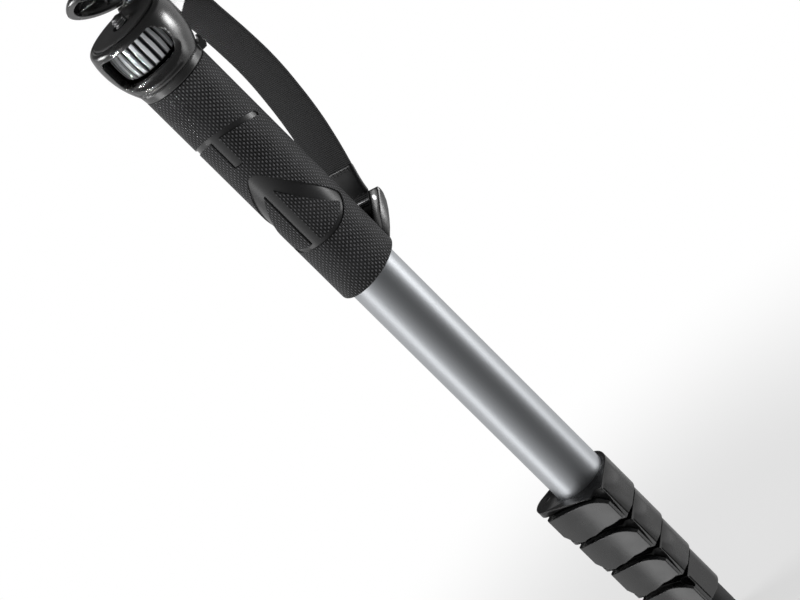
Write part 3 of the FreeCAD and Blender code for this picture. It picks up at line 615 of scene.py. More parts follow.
FINISHES: dict[Slot, Finish] = {
    Slot.TUBE: SatinAnodised("satin_anodised_tube", (0.60, 0.62, 0.645), 0.42),
    Slot.ACETAL: MouldedPlastic("dark_acetal", (0.10, 0.10, 0.105), 0.4),
    Slot.CLAMP: MouldedPlastic("clamp_moulding", CLAMP_BLACK, 0.3, edge=0.5 * MM, index=1.42),
    Slot.LEVER: LeverPlastic("lever_moulding", (0.012, 0.0125, 0.013), 0.24),
    Slot.STEEL: Turned("turned_steel", (0.56, 0.56, 0.57), 0.28),
    Slot.FOOT: PlainRubber("foot_rubber", (0.030, 0.030, 0.031), 0.55),
    Slot.GRIP: KnurledRubber("knurled_grip", (0.022, 0.022, 0.023), 0.45),
    Slot.HEAD: MouldedPlastic("head_moulding", HEAD_BLACK, 0.27, edge=0.8 * MM, index=1.8),
    Slot.PLATE: PaintedMetal("platform_paint", (0.010, 0.010, 0.010), 0.45),
    Slot.PAD: PlainRubber("pad_rubber", (0.046, 0.046, 0.0468), 0.65, pitch=1300.0),
    Slot.CHROME: BrightChrome("wheel_plating", (0.95, 0.97, 1.0), 0.18),
    Slot.WEBBING: Webbing("strap_webbing", (0.026, 0.026, 0.027), 0.75),
}
CAP_FINISH = MouldedPlastic(
    "anchor_cap_moulding", (0.018, 0.0185, 0.019), 0.32, edge=0.2 * MM, index=1.6
)
# The tab's black is darker than the webbing's: painted shade of the strap's inner side.
TAB_SHADE_FINISH = MouldedPlastic("tab_painted_shade", (0.010, 0.010, 0.011), 0.4, edge=0.3 * MM)
THREAD_FINISH = Thread("strap_thread", (0.05, 0.05, 0.052), 0.6)


class Wardrobe:
    """Builds each finish once and puts it on pieces."""

    def __init__(self) -> None:
        """Starts with no material made."""
        self.made: dict[str, bpy.types.Material] = {}

    def material(self, finish: Finish) -> bpy.types.Material:
        """The material of a finish, built on its first use."""
        if finish.name not in self.made:
            self.made[finish.name] = finish.build()
        return self.made[finish.name]

    def dress(self, piece: bpy.types.Object, slot: Slot, finish: Optional[Finish] = None) -> None:
        """Puts a finish on a piece.

        Args:
            piece: The piece.
            slot: The record's slot it belongs to.
            finish: Another finish than the slot's own.
        """
        material = self.material(finish or FINISHES[slot])
        if not piece.data.materials:
            piece.data.materials.append(material)
        for holder in piece.material_slots:
            holder.link = "OBJECT" if "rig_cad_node" in piece else "DATA"
            holder.material = material


def only(*pieces: bpy.types.Object) -> None:
    """Selects some objects alone and makes the first one active.

    Args:
        pieces: The objects.
    """
    bpy.ops.object.select_all(action="DESELECT")
    for piece in pieces:
        piece.select_set(True)
    bpy.context.view_layer.objects.active = pieces[0]


@contextmanager
def whole_mesh(piece: bpy.types.Object) -> Iterator[None]:
    """Edit mode on one piece, with all of its mesh selected at the start.

    Args:
        piece: The piece.
    """
    only(piece)
    bpy.ops.object.mode_set(mode="EDIT")
    bpy.ops.mesh.select_all(action="SELECT")
    yield
    bpy.ops.object.mode_set(mode="OBJECT")


def settle(piece: bpy.types.Object) -> bpy.types.Object:
    """Brings a piece's place, turn and size into its mesh.

    Args:
        piece: The piece.

    Returns:
        The same piece, at the origin.
    """
    only(piece)
    bpy.ops.object.transform_apply(location=True, rotation=True, scale=True)
    return piece


def apply_modifiers(piece: bpy.types.Object) -> None:
    """Applies all of a piece's modifiers in their order.

    Args:
        piece: The piece.
    """
    only(piece)
    for modifier in list(piece.modifiers):
        bpy.ops.object.modifier_apply(modifier=modifier.name)


def finish_mesh(piece: bpy.types.Object, angle: float = 35.0) -> bpy.types.Object:
    """Applies a piece's modifiers, merges doubles, turns faces outwards and smooths by angle.

    Args:
        piece: The piece.
        angle: Edges sharper than this stay sharp, in degrees.

    Returns:
        The same piece.
    """
    apply_modifiers(piece)
    with whole_mesh(piece):
        bpy.ops.mesh.remove_doubles(threshold=1e-6)
        bpy.ops.mesh.normals_make_consistent(inside=False)
    bpy.ops.object.shade_smooth_by_angle(angle=math.radians(angle))
    return piece


def primitive(
    name: str, operator: Callable[..., set], place: Triple = (0.0, 0.0, 0.0), **sizes: object
) -> bpy.types.Object:
    """Adds a primitive with nothing else selected.

    Args:
        name: The new piece's name.
        operator: The operator that adds it.
        place: Its centre.
        sizes: What else the operator takes.

    Returns:
        The piece, with its place in its mesh.
    """
    bpy.ops.object.select_all(action="DESELECT")
    operator(location=place, **sizes)
    piece = settle(bpy.context.active_object)
    piece.name = name
    return piece


def flat_face(name: str, corners: Sequence[Union[Vector, Triple]]) -> bpy.types.Object:
    """Models a single face with the given corners.

    Args:
        name: The new piece's name.
        corners: Its corners in order.

    Returns:
        The face.
    """
    operator = bpy.ops.mesh.primitive_circle_add
    face = primitive(name, operator, vertices=len(corners), radius=1.0, fill_type="NGON")
    for vertex, corner in zip(face.data.vertices, corners):
        vertex.co = corner
    return face


def slab(name: str, corners: Sequence[Vector], depth: Vector) -> bpy.types.Object:
    """Models a face pulled out into a closed slab.

    Args:
        name: The new piece's name.
        corners: The face's corners in order.
        depth: How far and which way it is pulled.

    Returns:
        The slab.
    """
    piece = flat_face(name, corners)
    with whole_mesh(piece):
        bpy.ops.mesh.extrude_region_move(TRANSFORM_OT_translate={"value": depth})
        bpy.ops.mesh.select_all(action="SELECT")
        bpy.ops.mesh.normals_make_consistent(inside=False)
    return piece


def ring(name: str, inner: float, outer: float, low: float, high: float) -> bpy.types.Object:
    """Models a plain ring round the column.

    Args:
        name: The new piece's name.
        inner: Radius of its bore.
        outer: Its outer radius.
        low: Height of its lower end.
        high: Height of its upper end.

    Returns:
        The ring, closed.
    """
    operator = bpy.ops.mesh.primitive_circle_add
    band = primitive(
        name, operator, (0.0, 0.0, low), vertices=RING_STEPS, radius=inner, fill_type="NOTHING"
    )
    wide = outer / inner
    with whole_mesh(band):
        for share, rise in ((wide, 0.0), (1.0, high - low), (1 / wide, 0.0), (1.0, low - high)):
            bpy.ops.mesh.extrude_region_move(TRANSFORM_OT_translate={"value": (0, 0, rise)})
            bpy.ops.transform.resize(value=(share, share, 1.0))
    return finish_mesh(band)


def sweep(
    piece: bpy.types.Object, angle: float, steps: int, rise: float = 0.0, outwards: bool = False
) -> None:
    """Turns a profile round the column's axis with a Screw modifier.

    Args:
        piece: The profile.
        angle: How far it is turned, in radians.
        steps: Steps over that angle.
        rise: How far it climbs on the way.
        outwards: Whether the modifier itself turns the faces outwards.
    """
    spin = piece.modifiers.new("sweep", "SCREW")
    spin.axis = "Z"
    spin.angle = angle
    spin.steps = spin.render_steps = steps
    spin.screw_offset = rise
    spin.use_normal_calculate = outwards


def soften(piece: bpy.types.Object, width: float, segments: int, angle: float) -> None:
    """Adds a Bevel modifier to a piece's sharp edges.

    Args:
        piece: The piece.
        width: Width of the bevel.
        segments: Its segments.
        angle: Edges sharper than this are bevelled, in degrees.
    """
    soft = piece.modifiers.new("edge", "BEVEL")
    soft.width = width
    soft.segments = segments
    soft.limit_method = "ANGLE"
    soft.angle_limit = math.radians(angle)


def combine(piece: bpy.types.Object, tool: bpy.types.Object, operation: str = "DIFFERENCE") -> None:
    """Takes a tool's volume away from a piece, or adds it, and removes the tool.

    Args:
        piece: The piece.
        tool: The tool.
        operation: "DIFFERENCE" or "UNION".
    """
    change = piece.modifiers.new("combine", "BOOLEAN")
    change.operation = operation
    change.solver = "EXACT"
    change.object = tool
    apply_modifiers(piece)
    bpy.data.objects.remove(tool)


def stand_in(node: str) -> bpy.types.Object:
    """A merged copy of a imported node's mesh, to be reworked and shown in its place.

    Args:
        node: The node's name.

    Returns:
        The copy, at the origin.
    """
    copy = bpy.data.objects.new(node + "_shown", bpy.data.objects[node].data.copy())
    bpy.context.scene.collection.objects.link(copy)
    return finish_mesh(copy)


def pick_edges(piece: bpy.types.Object, test: Callable[[Vector, Vector], bool]) -> None:
    """Selects a mesh's edges in edit mode by their place and direction, and nothing else.

    Args:
        piece: The piece, in edit mode.
        test: Takes an edge's middle and direction and says whether to select it.
    """
    bpy.ops.mesh.select_all(action="DESELECT")
    mesh = bmesh.from_edit_mesh(piece.data)
    for edge in mesh.edges:
        first, second = (vertex.co for vertex in edge.verts)
        if test((first + second) / 2, (second - first).normalized()):
            edge.select_set(True)
    mesh.select_flush_mode()
    bmesh.update_edit_mesh(piece.data)


def distances(line: Sequence[Vector]) -> list[float]:
    """Measures a line.

    Args:
        line: Its points.

    Returns:
        How far along the line each point lies.
    """
    found = [0.0]
    for before, after in zip(line, line[1:]):
        found.append(found[-1] + (after - before).length)
    return found


@dataclass(frozen=True)
class Lamp:
    """A soft rectangular lamp that faces the column's axis.

    Args:
        name: Its name.
        place: Its centre.
        size: Width and height in metres.
        power: Watts.
        aim: Height on the axis that it faces.
        spread: How widely its light fans out, in degrees.
    """

    name: str
    place: Triple
    size: Corner
    power: float
    aim: float = 0.22
    spread: float = 180.0

    def build(self) -> None:
        """Adds the lamp to the scene."""
        light = bpy.data.lights.new(self.name, "AREA")
        light.shape = "RECTANGLE"
        light.size, light.size_y = self.size
        light.energy = self.power
        light.spread = math.radians(self.spread)
        holder = bpy.data.objects.new(self.name, light)
        holder.location = self.place
        ahead = Vector((0.0, 0.0, self.aim)) - Vector(self.place)
        holder.rotation_euler = ahead.to_track_quat("-Z", "Y").to_euler()
        bpy.context.scene.collection.objects.link(holder)


@dataclass
class Studio:
    """Camera, lamps, floor and backdrop.

    Args:
        station: The camera's place.
        aim: The point on the column that it looks at.
        roll: Its turn about its own line of sight, in degrees.
        focal: Focal length over image width.
        sensor: Sensor width in millimetres.
        lamps: Soft boxes at both sides of the camera, one from above, a small one for the
            head and a narrow one aimed at its wheel.
        floor_radius: Radius of the floor in metres.
        floor_glow: Share of plain white that the floor's middle shows to the camera.
        dark_side: Middle of the room's dark side, from -Y towards +X, in degrees.
        dark_level: Light of that side in mirror-like reflections.
        pale_level: Light of the opposite side in them.
        pale_from: Share of the way round to the opposite side where the room is palest.
        fill_level: Even light from all round on rough surfaces.
    """

    station: Triple = (0.4225, -1.3819, 0.763)
    aim: Triple = (0.0, 0.0, 0.223)
    roll: float = 45.2
    focal: float = 3578.0 / 800.0
    sensor: float = 36.0
    lamps: tuple[Lamp, ...] = (
        Lamp("soft_box_left", (-1.14, -0.63, -0.3), (0.5, 1.1), 2.8),
        Lamp("soft_box_right", (1.27, 0.25, -0.28), (0.45, 1.0), 1.8),
        Lamp("soft_box_top", (-1.2, 0.15, 0.95), (0.6, 0.4), 7.0),
        Lamp("soft_box_head", (1.2, 0.36, 0.1), (0.34, 0.32), 3.2, aim=0.385),
        Lamp("soft_box_wheel", (-0.85, -0.8, 0.45), (0.06, 0.04), 0.006, aim=0.389, spread=4.0),
    )
    floor_radius: float = 0.32
    floor_glow: float = 0.6
    dark_side: float = 50.0
    dark_level: float = 0.09
    pale_level: float = 0.6
    pale_from: float = 0.6
    fill_level: float = 0.28

    def camera(self) -> None:
        """Makes the photograph's camera."""
        lens = bpy.data.cameras.new("photo_camera")
        lens.sensor_width = self.sensor
        lens.lens = self.focal * self.sensor
        lens.clip_start = 0.05
        lens.clip_end = 20.0
        camera = bpy.data.objects.new("photo_camera", lens)
        bpy.context.scene.collection.objects.link(camera)
        station = Vector(self.station)
        ahead = (Vector(self.aim) - station).normalized()
        right = ahead.cross(Vector((0, 0, 1))).normalized()
        up = right.cross(ahead)
        lean = math.radians(self.roll)
        right_rolled = right * math.cos(lean) - up * math.sin(lean)
        up_rolled = up * math.cos(lean) + right * math.sin(lean)
        turn = Matrix((right_rolled, up_rolled, -ahead)).transposed()
        camera.matrix_world = Matrix.Translation(station) @ turn.to_4x4()
        bpy.context.scene.camera = camera

    def floor(self) -> None:
        """A plain pale disc that keeps the object's shadow and fades into the white round it.

        A mirror ray passes through it, so that gloss shows the soft boxes and the room.
        """
        operator = bpy.ops.mesh.primitive_circle_add
        size = self.floor_radius
        floor = primitive("studio_floor", operator, vertices=96, radius=size, fill_type="NGON")
        nodes = Nodes("pale_floor")
        rim = nodes.reach(nodes.place()).eased(size * 0.3, size * 0.97)
        white = {"Color": (1.0, 1.0, 1.0, 1.0)}
        paper = nodes.add("ShaderNodeBsdfDiffuse", {}, {"Color": (0.86, 0.86, 0.86, 1.0)}, "BSDF")
        glow = nodes.add("ShaderNodeEmission", {}, white, "Emission")
        clear = nodes.add("ShaderNodeBsdfTransparent", {}, white, "BSDF")
        kinds = ("Is Camera Ray", "Is Transmission Ray", "Is Glossy Ray")
        seen, through, mirrored = nodes.several("ShaderNodeLightPath", kinds)
        share = seen.most(through) * (self.floor_glow + rim * (1 - self.floor_glow))
        nodes.finish(nodes.mix(mirrored, nodes.mix(share, paper, glow), clear))
        floor.data.materials.append(nodes.material)

    def backdrop(self) -> None:
        """White behind the object, and a room for gloss, dark by the camera and pale behind."""
        world = bpy.data.worlds.new("studio_world")
        bpy.context.scene.world = world
        nodes = Nodes("room", world)
        x, y, z = nodes.parts(nodes.add("ShaderNodeTexCoord", output="Generated"))
        turn = math.radians(self.dark_side)
        away = 0.5 - (x * math.sin(turn) - y * math.cos(turn)) * 0.5
        low = 1 - z.eased(-0.05, 0.35)
        pale = away.eased(0.0, self.pale_from) * low
        room = self.dark_level + pale * (self.pale_level - self.dark_level)
        kinds = ("Is Camera Ray", "Is Transmission Ray", "Is Diffuse Ray")
        seen, through, soft = nodes.several("ShaderNodeLightPath", kinds)
        plain = seen.most(through)
        level = (soft * self.fill_level + (1 - soft) * room) * (1 - plain) + plain
        inputs = {"Color": (1.0, 1.0, 1.0, 1.0), "Strength": level}
        nodes.finish(nodes.add("ShaderNodeBackground", {}, inputs, "Background"))

    def build(self) -> None:
        """Sets the whole studio."""
        bpy.context.scene.view_settings.view_transform = "Standard"
        self.camera()
        for lamp in self.lamps:
            lamp.build()
        self.floor()
        self.backdrop()


@dataclass
class CadNodes:
    """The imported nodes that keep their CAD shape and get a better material.

    Args:
        nodes: The nodes by name.
        slots: Their material slots in the record, by name.
    """

    nodes: dict[str, bpy.types.Object]
    slots: dict[str, str]

    def dress(self, wardrobe: Wardrobe) -> None:
        """Puts each node's finish on it by the record's slot."""
        for name, node in self.nodes.items():
            wardrobe.dress(node, Slot(self.slots[name]))


@dataclass
class HeadHousing:
    """The head's housing with a soft, crescent-shaped scoop below the window.

    Args:
        outline: The barrel below the window, as (radius, height) in millimetres, from its foot up.
        core: Radius that the barrel is filled in from, in millimetres.
        half_turn: Half the angle that is filled in, in degrees.
        reach: Radius of the ring that the scoop's cutter follows.
        back: How far behind the column's axis that ring has its middle.
        height: Height of the ring.
        thickness: Radius of the cutter.
    """

    outline: tuple[Corner, ...] = (
        (16.92, 369.05), (17.46, 370.3), (18.0, 371.59), (18.49, 372.9),
        (18.93, 374.22), (19.33, 375.56), (19.45, 376.0),
    )
    core: float = 12.0
    half_turn: float = 80.0
    reach: float = 40.0 * MM
    back: float = 17.0 * MM
    height: float = 376.8 * MM
    thickness: float = 7.0 * MM

    def filler(self) -> bpy.types.Object:
        """Models the front of the barrel below the window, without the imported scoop.

        Returns:
            The filler.
        """
        low, high = self.outline[0][1], self.outline[-1][1]
        profile = [*self.outline, (self.core, high), (self.core, low)]
        half = math.radians(self.half_turn)
        corners = [
            (-reach * MM * math.sin(half), -reach * MM * math.cos(half), height * MM)
            for reach, height in profile
        ]
        filler = flat_face("scoop_filler", corners)
        sweep(filler, 2 * half, steps=96)
        return finish_mesh(filler)

    def build(self, wardrobe: Wardrobe) -> list[bpy.types.Object]:
        """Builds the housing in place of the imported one.

        Args:
            wardrobe: The finishes.

        Returns:
            The housing.
        """
        housing = stand_in("head_housing")
        combine(housing, self.filler(), "UNION")
        cutter = primitive(
            "scoop_cutter", bpy.ops.mesh.primitive_torus_add, (0.0, self.back, self.height),
            major_radius=self.reach, minor_radius=self.thickness,
            major_segments=256, minor_segments=64,
        )
        combine(housing, cutter)
        finish_mesh(housing)
        wardrobe.dress(housing, Slot.HEAD)
        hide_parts("head_housing")
        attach(housing, "column")
        return [housing]


@dataclass
class CollarGaps:
    """The clamps' collars, with a shadow gap under each that stands on another.

    Args:
        bodies: Body that each collar rides, from the uppermost down.
        wall: Radius of the uppermost collar's wall.
        shrink: Share of it by which each collar is smaller than the one above.
        depth: Depth of the gap.
        height: Height of the gap.
    """

    bodies: tuple[str, ...] = ("column", "section_2", "section_3")
    wall: float = 15.4 * MM
    shrink: float = 0.06
    depth: float = 1.1 * MM
    height: float = 1.1 * MM

    def build(self, wardrobe: Wardrobe) -> list[bpy.types.Object]:
        """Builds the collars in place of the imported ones.

        Args:
            wardrobe: The finishes.

        Returns:
            The collars.
        """
        made: list[bpy.types.Object] = []
        for index, body in enumerate(self.bodies):
            node = f"clamp_collar_{index + 1}"
            collar = stand_in(node)
            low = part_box(node)[0][2]
            inner = self.wall * (1 - self.shrink * index) - self.depth
            ends = (low - self.height, low + self.height)
            combine(collar, ring("gap_cutter", inner, 3 * self.wall, *ends))
            finish_mesh(collar)
            wardrobe.dress(collar, Slot.CLAMP)
            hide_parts(node)
            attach(collar, body)
            made.append(collar)
        return made


@dataclass
class CameraScrew:
    """The camera screw: a plain spindle in the wheel and a rolled thread over the platform.

    Args:
        major: Radius over the thread's crests.
        minor: Radius at its roots.
        pitch: Rise of one turn.
        ridge_foot: Half the ridge's height at its foot, as a share of the pitch.
        ridge_crest: Half its height at its crest, as a share of the pitch.
        sink: How deep the ridge's foot lies in the core.
        foot: Height where the thread starts.
        chamfer: Height of the cone at the tip.
        steps: Points to a turn.
    """

    major: float = 3.175 * MM
    minor: float = 2.5 * MM
    pitch: float = 1.27 * MM
    ridge_foot: float = 0.46
    ridge_crest: float = 0.07
    sink: float = 0.03 * MM
    foot: float = 395.6 * MM
    chamfer: float = 0.5 * MM
    steps: int = 40

    def core(self, low: float, high: float) -> bpy.types.Object:
        """Models the spindle and the thread's core with a coned tip.

        Args:
            low: Height of the spindle's end.
            high: Height of the tip.

        Returns:
            The core, closed at both ends.
        """
        core = primitive(
            "camera_screw_thread", bpy.ops.mesh.primitive_circle_add, (0.0, 0.0, low),
            vertices=self.steps, radius=self.minor, fill_type="NGON",
        )
        share = 1.0 - self.chamfer / self.minor
        with whole_mesh(core):
            for rise in (high - low - self.chamfer, self.chamfer):
                bpy.ops.mesh.extrude_region_move(TRANSFORM_OT_translate={"value": (0, 0, rise)})
            bpy.ops.transform.resize(value=(share, share, 1.0))
        return finish_mesh(core, angle=40.0)

    def ridge(self, turns: float) -> bpy.types.Object:
        """Models the thread's ridge as a V profile swept up the screw and run out at both ends.

        Args:
            turns: Its turns.

        Returns:
            The ridge.
        """
        root = self.minor - self.sink
        half, flat = self.pitch * self.ridge_foot, self.pitch * self.ridge_crest
        profile = ((root, -half), (self.major, -flat), (self.major, flat), (root, half))
        corners = [(reach, 0.0, self.foot + rise) for reach, rise in profile]
        ridge = flat_face("thread_ridge", corners)
        steps = round(self.steps * turns)
        sweep(ridge, 2 * math.pi * turns, steps, self.pitch * turns, outwards=True)
        finish_mesh(ridge, angle=25.0)
        heights = [vertex.co.z for vertex in ridge.data.vertices]
        first, last = min(heights), max(heights)
        for vertex in ridge.data.vertices:
            reach = math.hypot(vertex.co.x, vertex.co.y)
            run_in = (vertex.co.z - first) / self.pitch
            run_out = (last - vertex.co.z) / (0.9 * self.pitch)
            share = (root + (reach - root) * max(0.0, min(1.0, run_in, run_out))) / reach
            vertex.co.x *= share
            vertex.co.y *= share
        return ridge

    def build(self, wardrobe: Wardrobe) -> list[bpy.types.Object]:
        """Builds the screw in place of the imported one.

        Args:
            wardrobe: The finishes.

        Returns:
            The screw.
        """
        low, high = (corner[2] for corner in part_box("camera_screw"))
        core = self.core(low, high)
        ridge = self.ridge((high - self.foot - self.chamfer) / self.pitch)
        only(core, ridge)
        bpy.ops.object.join()
        wardrobe.dress(core, Slot.STEEL)
        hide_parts("camera_screw")
        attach(core, "wheel")
        return [core]


@dataclass
class Grip:
    """The grip: a rubber sleeve with a band, a bar and an arrow sunk into its knurl.

    Outlines of the marks are (angle from their middle in degrees, height in millimetres).

    Args:
        foot: Height of the lower end in the middle.
        rise: How far that end rises at its higher side.
        turn: Direction of that side, from +X towards +Y, in degrees.
        top: Height of the upper end.
        radius: Outer radius.
        bore: Radius of the bore.
        floor: Radius of the marks' floors.
        deep: How far the marks' cutters stand out over the floors.
        middle: The marks' middle, as its angle from -Y towards +X, in degrees.
        bar: Half the bars' angle.
        step: Angle between the cuts that let a flat mark be wrapped round.
    """

    foot: float = 244.3 * MM
    rise: float = 2.2 * MM
    turn: float = 40.0
    top: float = 364.5 * MM
    radius: float = 16.2 * MM
    bore: float = 13.1 * MM
    floor: float = 15.6 * MM
    deep: float = 2.0 * MM
    middle: float = -11.5
    bar: float = 8.5
    step: int = 3

    def bowed(self, angle: float, height: float, bow: float) -> Corner:
        """A point of the arrow's bowed base line."""
        return angle, height + bow * (1 - math.cos(math.radians(angle))) ** 2

    def tilted(self, height: float, *angles: float, fall: float = 7.57) -> list[Corner]:
        """Points of a tilted line of the band."""
        return [(angle, height - fall * (1 - math.cos(math.radians(angle)))) for angle in angles]

    def rounded(self, corner: Corner, one: Corner, other: Corner) -> list[Corner]:
        """Rounds a corner off.

        Args:
            corner: The corner.
            one: Where the curve starts.
            other: Where it ends.

        Returns:
            Points on the curve.
        """
        found = []
        for share in (step / 6 for step in range(7)):
            weights = (2 * share * (1 - share), (1 - share) ** 2, share**2)
            ends = (corner, one, other)
            found.append(tuple(sum(w * end[k] for w, end in zip(weights, ends)) for k in (0, 1)))
        return found

    def arrow(self) -> list[Corner]:
        """Draws the arrow.

        Returns:
            Its outline, against the clock from its left corner.
        """
        base = [self.bowed(angle, 271.2, 7.2) for angle in range(-84, 85, 6)]
        right = self.rounded((94.0, 279.4), (88.0, 278.0), (88.0, 281.9))
        tip = self.rounded((0.0, 317.8), (16.5, 311.1), (-16.5, 311.1))
        left = [(-angle, height) for angle, height in reversed(right)]
        return [*base, *right, (50.0, 297.4), *tip, (-50.0, 297.4), *left]

    def field(self, side: float) -> list[Corner]:
        """Draws the knurled field on one side of the arrow's bar.

        Args:
            side: -1 for the left side and 1 for the right one.

        Returns:
            Its outline.
        """
        base = [self.bowed(angle, 273.5, 7.4) for angle in range(12, 73, 6)]
        rim = [
            (74.5, 277.7), (74.0, 278.6), (62.0, 281.9), (44.5, 288.4), (25.5, 296.8),
            (9.9, 303.2), (9.0, 302.8),
        ]
        return [(side * angle, height) for angle, height in [(9.0, 273.55), *base, *rim]]

    def band(self) -> list[Corner]:
        """Draws the band with its short bar.

        Returns:
            Its outline.
        """
        over, end, under, foot = 339.0, 337.6, 336.3, 321.3
        return [
            *self.tilted(over, *range(84, -85, -6)),
            *self.tilted(end, -87.0),
            *self.tilted(under, *range(-84, -11, 6), -self.bar),
            (-self.bar, foot),
            (self.bar, foot),
            *self.tilted(under, self.bar, *range(12, 85, 6)),
            *self.tilted(end, 87.0),
        ]

    def plate(
        self, name: str, outline: Sequence[Corner], low: float, high: float
    ) -> bpy.types.Object:
        """Models a flat plate of an unrolled outline.

        Args:
            name: Its name.
            outline: Its outline.
            low: Where it starts over the marks' floors.
            high: Where it ends.

        Returns:
            The plate, with the grip's round along X and its height along Z.
        """
        corners = [
            Vector((math.radians(angle) * self.radius, low, height * MM))
            for angle, height in outline
        ]
        return slab(name, corners, Vector((0, high - low, 0)))

    def wrap(self, plate: bpy.types.Object) -> None:
        """Cuts a flat plate into strips and lays it round the grip.

        Args:
            plate: The plate.
        """
        with whole_mesh(plate):
            bpy.ops.mesh.quads_convert_to_tris(quad_method="BEAUTY", ngon_method="BEAUTY")
            for angle in range(-90, 91, self.step):
                bpy.ops.mesh.select_all(action="SELECT")
                spot = math.radians(angle) * self.radius
                bpy.ops.mesh.bisect(plane_co=(spot, 0, 0), plane_no=(1, 0, 0), use_fill=False)
            bpy.ops.mesh.select_all(action="SELECT")
            bpy.ops.mesh.remove_doubles(threshold=2e-6)
        for vertex in plate.data.vertices:
            turn = math.radians(self.middle) + vertex.co.x / self.radius
            reach = self.floor + vertex.co.y
            vertex.co = (reach * math.sin(turn), -reach * math.cos(turn), vertex.co.z)
        with whole_mesh(plate):
            bpy.ops.mesh.normals_make_consistent(inside=False)

    def sleeve(self) -> bpy.types.Object:
        """Models the plain sleeve with its sloped lower end and softened rims.

        Returns:
            The sleeve.
        """
        sleeve = ring("grip_sleeve", self.bore, self.radius, self.foot, self.top)
        way = Vector((math.cos(math.radians(self.turn)), math.sin(math.radians(self.turn)), 0))
        for vertex in sleeve.data.vertices:
            if vertex.co.z < (self.foot + self.top) / 2:
                vertex.co.z += self.rise * vertex.co.dot(way) / self.radius
        soften(sleeve, width=0.5 * MM, segments=3, angle=60.0)
        return finish_mesh(sleeve)

    def build(self, wardrobe: Wardrobe) -> list[bpy.types.Object]:
        """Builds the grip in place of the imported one.

        Args:
            wardrobe: The finishes.

        Returns:
            The grip.
        """
        sleeve = self.sleeve()
        arrow = self.plate("arrow_mark", self.arrow(), 0.0, self.deep)
        for side in (-1.0, 1.0):
            field = self.plate("arrow_field", self.field(side), -0.5 * self.deep, 1.5 * self.deep)
            combine(arrow, field)
        for mark in (arrow, self.plate("band_mark", self.band(), 0.0, self.deep)):
            self.wrap(mark)
            combine(sleeve, mark)
        finish_mesh(sleeve)
        wardrobe.dress(sleeve, Slot.GRIP)
        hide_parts("grip")
        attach(sleeve, "column")
        return [sleeve]


@dataclass(frozen=True)
class StrapPlane:
    """The upright plane through the column's axis in which the wrist strap hangs.

    Args:
        azimuth: Its angle from -Y towards +X, in degrees.
    """

    azimuth: float = 151.0

    @property
    def out(self) -> Vector:
        """The level direction in the plane, away from the column."""
        turn = math.radians(self.azimuth)
        return Vector((math.sin(turn), -math.cos(turn), 0))

    @property
    def beside(self) -> Vector:
        """The direction square to the plane."""
        turn = math.radians(self.azimuth)
        return Vector((math.cos(turn), math.sin(turn), 0))

    def spot(self, reach: float, height: float, side: float = 0.0) -> Vector:
        """A point in the frame.

        Args:
            reach: Distance from the column's axis in the plane, in millimetres.
            height: Height in millimetres.
            side: Distance from the plane, in metres.

        Returns:
            The point.
        """
        return self.out * (reach * MM) + self.beside * side + Vector((0, 0, height * MM))


